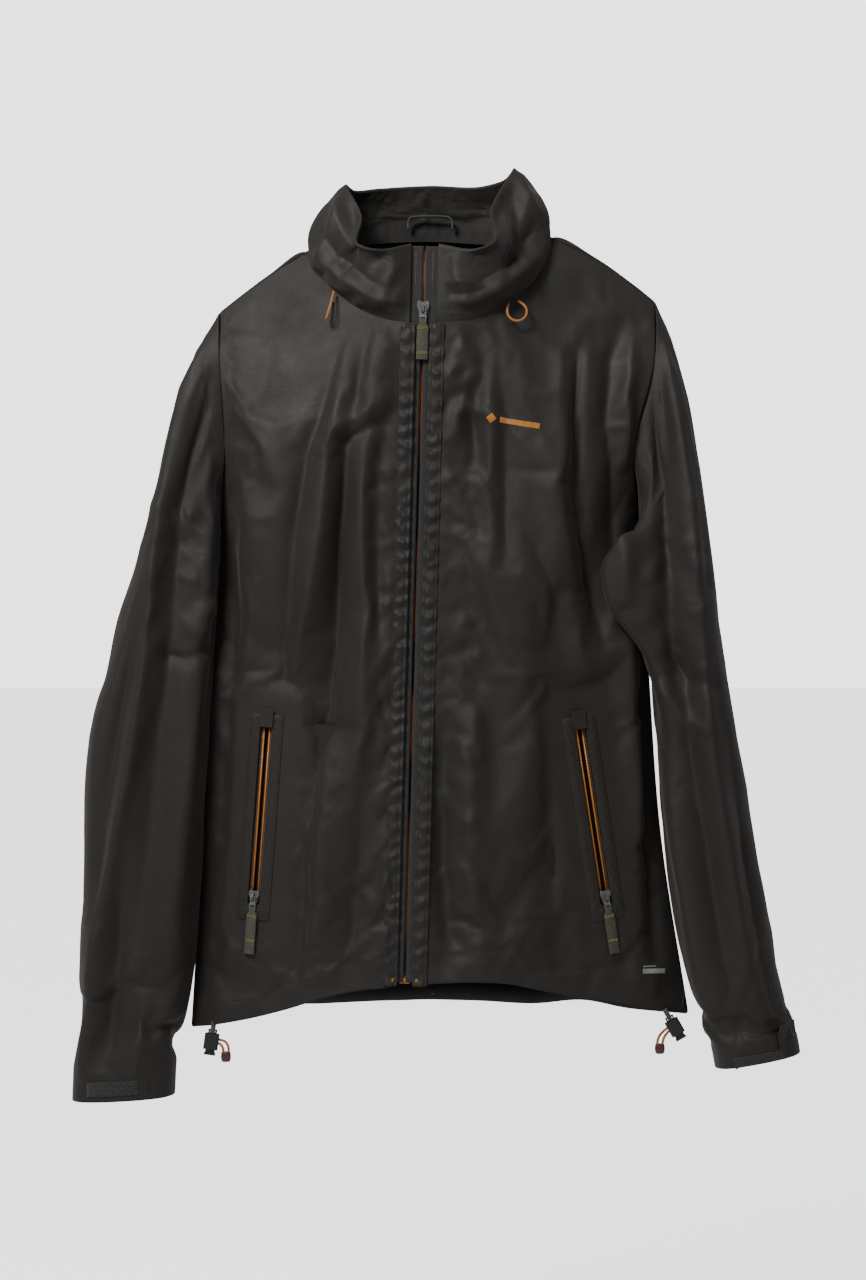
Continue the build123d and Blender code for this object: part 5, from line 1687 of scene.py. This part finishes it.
mark_angle = -9
laid_patch("chest_mark_bar", front_pieces[LEFT], (80, -198.5), 36, 5.0, mark_angle, CHEST_MARK, "root",
           ["chest_mark"], lift=0.45, thickness=0.4)
laid_patch("chest_mark_square", front_pieces[LEFT], (54.5, -194.5), 6.5, 6.5, 36, CHEST_MARK, "root",
           lift=0.45, thickness=0.4, cells=(8, 8))
laid_patch("hem_mark_bar", front_pieces[LEFT], (202, -690), 21, 4.2, -3, HEM_MARK, "root",
           ["hem_mark"], lift=0.45, thickness=0.4)
laid_patch("hem_mark_line", front_pieces[LEFT], (198, -685.6), 12, 1.2, -3, HEM_MARK, "root",
           lift=0.45, thickness=0.4)
print("loop, label and marks")


# %% [markdown]
# ## Seams
# A jacket's seams are top-stitched, and the thread is close to the cloth's own colour, so a
# seam reads mostly as a shallow line with a fine beaded edge. Every row here is real thread,
# laid on the cloth it goes through.

# %% Seam stitches
def seam_path(side, rows, inset):
    return [(SEAM[side][i][0] - side * inset, SEAM[side][i][2]) for i in rows]


for side, name in SIDES.items():
    s = side
    build = bmesh.new()
    shell = front_pieces[side]
    for inset in (3.0, 5.0):
        sew(build, shell, seam_path(side, (1, 2), inset), pitch=3.4)
    sew(build, shell, seam_path(side, (4, 5), 4.5), pitch=3.4)
    grid = fronts[side]
    sew(build, shell, grid[-5][3:-2][:, [0, 2]], pitch=3.2)
    thread_piece("front_seams_" + name, build, THREAD, "root")
    build = bmesh.new()
    rings = SLEEVE_RINGS[side]
    for up in (26, 29):
        for behind in (False, True):
            x_in, x_out, z_in, z_out = rings[-1][:4]
            path = [(s * (x_in + 2), z_in + up), (s * (x_out - 2), z_out + up)]
            sew(build, sleeve_pieces[side], path, pitch=3.4, behind=behind)
    thread_piece("cuff_seams_" + name, build, THREAD, "sleeve_" + name)

build = bmesh.new()
sew(build, back_piece, back[-5][2:-2][:, [0, 2]], pitch=3.4, behind=True)
sew(build, back_piece, [(-150, -112), (0, -104), (150, -106)], pitch=3.4, behind=True)
thread_piece("back_seams", build, THREAD, "root")

build = bmesh.new()
for across in (-7.6, 7.6):
    for x, y in even([(across, 622), (across, ZIP_LENGTH - 3)], 2.6):
        add_stitch(build, (x, y, 0.1), (0, 1, 0), (0, 0, 1), 2.0, 0.6)
for across in (-10.5, 0.0, 10.5):
    for k in range(5):
        add_stitch(build, (across, 3.0 + 0.6 * k, 4.6 if across else 0.3), (1, 0.1, 0), (0, 0, 1), 4.6, 0.6)
fitting("orange_stitches", build, ZIP_PLANE, ORANGE_THREAD, "root", bevel=0)

build = bmesh.new()
for drop, rows in ((3.5, COLLAR_ROWS[3]), (6.0, COLLAR_ROWS[3])):
    right_lip = [(rows[i][0], rows[i][2] - drop) for i in (0, 1, 2)]
    left_lip = [(rows[i][0], rows[i][2] - drop) for i in (-3, -2, -1)]
    sew(build, collar, right_lip, pitch=3.0)
    sew(build, collar, left_lip, pitch=3.0)
neck_seam = [(p[0], p[2] + 4.5) for p in COLLAR_ROWS[0]]
sew(build, collar, neck_seam[0:5], pitch=3.2)
sew(build, collar, neck_seam[-5:], pitch=3.2)
thread_piece("collar_seams", build, THREAD, "root")
print("seams done")


# %% [markdown]
# ## What the cloth was cut from
# Each large piece is a sheet that was cut flat and sewn. The cloth in each is worked out as
# the area of its folded grid, and printed.

# %% Cloth areas
def surface_area(grid, closed=False):
    if closed:
        grid = np.concatenate([grid, grid[:, :1]], axis=1)
    one = np.cross(grid[1:, :-1] - grid[:-1, :-1], grid[:-1, 1:] - grid[:-1, :-1])
    return float(np.linalg.norm(one, axis=2).sum()) * MM * MM


print("cloth by area:", "fronts", [round(surface_area(fronts[s]), 3) for s in SIDES],
      "sleeves", [round(surface_area(sleeve_grids[s], True), 3) for s in SIDES],
      "back", round(surface_area(back), 3), "collar", round(surface_area(outer), 4))


# %% [markdown]
# ## Small soft parts
# The zip tapes are narrow woven strips with a thicker edge where the coil is sewn on. The
# pocket bag is a flat pouch of lining cloth that hangs inside the front. The tab that holds a
# cord lock is a folded bit of tape. Each could be a plain block, but they bend and bulge on a
# real jacket, so each is built as cloth here.

# %% Tapes, pocket bags, lock tabs and springs
def seen_from(place, node_name):
    """A CAD node's corners in a plane's own coordinates, in millimetres."""
    return carried(place.inverted(), corners_of(node_name) / MM)


def tape_strip(build, low, high, edge, pitch=2.0):
    """A woven strip between two corners, thicker along the edge that carries the coil."""
    sections = []
    for y in np.arange(low[1], high[1] + pitch / 2, pitch):
        y = min(y, high[1])
        lean = 0.12 * math.sin(y / 17.0) + 0.07 * math.sin(y / 6.3 + 1)
        section = []
        for t in np.linspace(0, 1, 9):
            x = low[0] + (high[0] - low[0]) * t
            near = t if edge > 0 else 1 - t
            rise = 0.12 * math.exp(-((near - 0.88) / 0.1) ** 2) + lean * (1 - near)
            section.append((x, y, high[2] - 0.14 + rise))
        for t in np.linspace(1, 0, 9):
            x = low[0] + (high[0] - low[0]) * t
            near = t if edge > 0 else 1 - t
            section.append((x, y, low[2] + 0.14 + lean * (1 - near)))
        sections.append(section)
    add_loft(build, sections)


for side, name in SIDES.items():
    corners = seen_from(ZIP_PLANE, "zip_tape_" + name)
    build = bmesh.new()
    tape_strip(build, corners.min(axis=0), corners.max(axis=0), -side)
    fitting("woven_tape_" + name, build, ZIP_PLANE, TAPE, "root", ["zip_tape_" + name], bevel=0)

    place = POCKET_PLANE[side]
    corners = seen_from(place, "pocket_zip_tape_" + name)
    build = bmesh.new()
    for half in (-1, 1):
        strip = corners[corners[:, 0] * half > 0]
        tape_strip(build, strip.min(axis=0), strip.max(axis=0), -half)
    nodes = ["pocket_zip_tape_" + name]
    fitting("pocket_tape_" + name, build, place, TAPE, "root", nodes, bevel=0)

    corners = seen_from(place, "pocket_bag_" + name)
    low, high = corners.min(axis=0), corners.max(axis=0)
    middle, half = (low + high) / 2, (high - low) / 2
    bag = []
    for turn in np.linspace(0.02, 1.98, 34):
        size = math.sin(turn * math.pi / 2) ** 0.55
        loop = np.array(rounded(2 * half[0] * size * 0.98, 2 * half[1] * size * 0.98, 14 * size, steps=22))
        bulge = (half[2] - 1.4) * (1 - size ** 3) * (1 if turn < 1 else -1)
        wave = np.sin(loop[:, 1] / 11 + side) * np.sin(loop[:, 0] / 17) * 0.8 * size * (1 - size)
        depth = middle[2] + bulge + wave
        bag.append(np.stack([loop[:, 0] + middle[0], loop[:, 1] + middle[1], depth], axis=1))
    pouch = grid_object("pocket_pouch_" + name, carried(place, bag), [BACKER], closed=True)
    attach(pouch, "root")
    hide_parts("pocket_bag_" + name)

    node_name = "hem_anchor_tab_" + name
    points = corners_of(node_name)
    long_way, _, thin_way = own_axes(points)
    turned = Matrix((long_way, thin_way, long_way.cross(thin_way))).transposed()
    place = Matrix.Translation(Vector(points.mean(axis=0))) @ turned.to_4x4()
    build = bmesh.new()
    add_ring(build, rounded(12.4, 4.0, 1.9, steps=6), rounded(10.8, 2.5, 1.2, steps=6), -2.2, 2.2)
    fitting("folded_tab_" + name, build, place, LOOP_TAPE, "root", [node_name], bevel=0.2)

    node_name = "hem_lock_spring_" + name
    points = corners_of(node_name)
    low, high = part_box(node_name)
    centre = (np.array(low) + np.array(high)) / 2
    along = own_axes(points)[0]
    if np.ptp(points @ np.array(along)) > np.ptp(points[:, 1]):
        along = along.cross(Vector((0, 1, 0)))
    along = along if along.z > 0 else -along
    place = plane(Vector(centre) / MM, Vector((0, 1, 0)), along)
    build = bmesh.new()
    turns = []
    for t in np.linspace(0, 1, 61):
        angle = 2 * math.pi * 3 * t
        middle = Vector((1.6 * math.cos(angle), 1.6 * math.sin(angle), -1.05 + 2.1 * t))
        away = Vector((math.cos(angle), math.sin(angle), 0))
        spin = [2 * math.pi * i / 6 for i in range(6)]
        turns.append([middle + away * 0.24 * math.cos(s) + Vector((0, 0, 0.24 * math.sin(s))) for s in spin])
    add_loft(build, turns)
    coil = fitting("lock_coil_" + name, build, place, SPRING, "root", [node_name], bevel=0)
    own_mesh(coil)
print("tapes, pouches, tabs and springs")


# %% [markdown]
# ## Finishes for the parts that stay as packed
# The lock bodies, their buttons and the hard ends of the centre zip are already the right
# shape, so they stay as packed and only take a finish.

# %% Finishes for the CAD pieces that stay
FINISHES = {
    "shell": SHELL, "backer": BACKER, "zip_tape": TAPE, "zip_coil": COIL, "slider_metal": ENAMEL,
    "zip_fittings": COIL, "ribbon": RIBBON, "loop_strip": PILE, "cord": CORD, "cord_lock": MOULDED,
    "spring_steel": SPRING, "bead": BEAD, "loop_tape": LOOP_TAPE, "label": LABEL,
    "chest_mark": CHEST_MARK, "hem_mark": HEM_MARK,
}
kept = []
for name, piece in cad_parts.items():
    if piece.hide_render:
        continue
    kept.append(name)
    for place in piece.material_slots:
        key = place.material.name.split(".")[0] if place.material else ""
        place.material = FINISHES.get(key, SHELL)
print("CAD pieces kept", kept)


# %% [markdown]
# ## Floor and light
# The floor is plain and pale, and the world has the same tone, so nothing competes with the
# cloth. One large soft light stands high at the left of the camera, where it rakes down
# across the folds, and the pale world fills the shaded side.

# %% Floor, world and lights
FLOOR_Z = -1.15
WORLD_SEEN, WORLD_LIGHT = 3.0, 0.36
floor_mesh = bpy.data.meshes.new("floor")
half = 40.0
floor_corners = [(-half, -half, 0), (half, -half, 0), (half, half, 0), (-half, half, 0)]
floor_mesh.from_pydata(floor_corners, [], [(0, 1, 2, 3)])
floor = bpy.data.objects.new("floor", floor_mesh)
bpy.context.collection.objects.link(floor)
floor.location = (0, 0, FLOOR_Z)
pale, pale_tree, pale_shader = start_material("pale floor", 0.9)
pale_shader.inputs["Base Color"].default_value = (0.85, 0.86, 0.87, 1)
pale_shader.inputs["Emission Color"].default_value = (0.93, 0.94, 0.96, 1)
seen = node(pale_tree, "ShaderNodeLightPath").outputs["Is Camera Ray"]
pale_tree.links.new(sums(pale_tree, "MULTIPLY", seen, 2.1), pale_shader.inputs["Emission Strength"])
floor_mesh.materials.append(pale)

world = bpy.data.worlds.new("soft world")
world.use_nodes = True
world.node_tree.nodes["Background"].inputs["Color"].default_value = (0.93, 0.94, 0.96, 1)
seen = node(world.node_tree, "ShaderNodeLightPath").outputs["Is Camera Ray"]
strength = sums(world.node_tree, "MULTIPLY_ADD", seen, WORLD_SEEN - WORLD_LIGHT)
strength.node.inputs[2].default_value = WORLD_LIGHT
world.node_tree.links.new(strength, world.node_tree.nodes["Background"].inputs["Strength"])
bpy.context.scene.world = world


def area_light(name, place, target, size, power):
    data = bpy.data.lights.new(name, "AREA")
    data.size = size
    data.energy = power
    lamp = bpy.data.objects.new(name, data)
    bpy.context.collection.objects.link(lamp)
    lamp.location = place
    lamp.rotation_euler = (Vector(target) - Vector(place)).to_track_quat("-Z", "Y").to_euler()
    return lamp


area_light("key", (-0.85, -1.35, 1.0), (0, 0, -0.25), 0.6, 37)
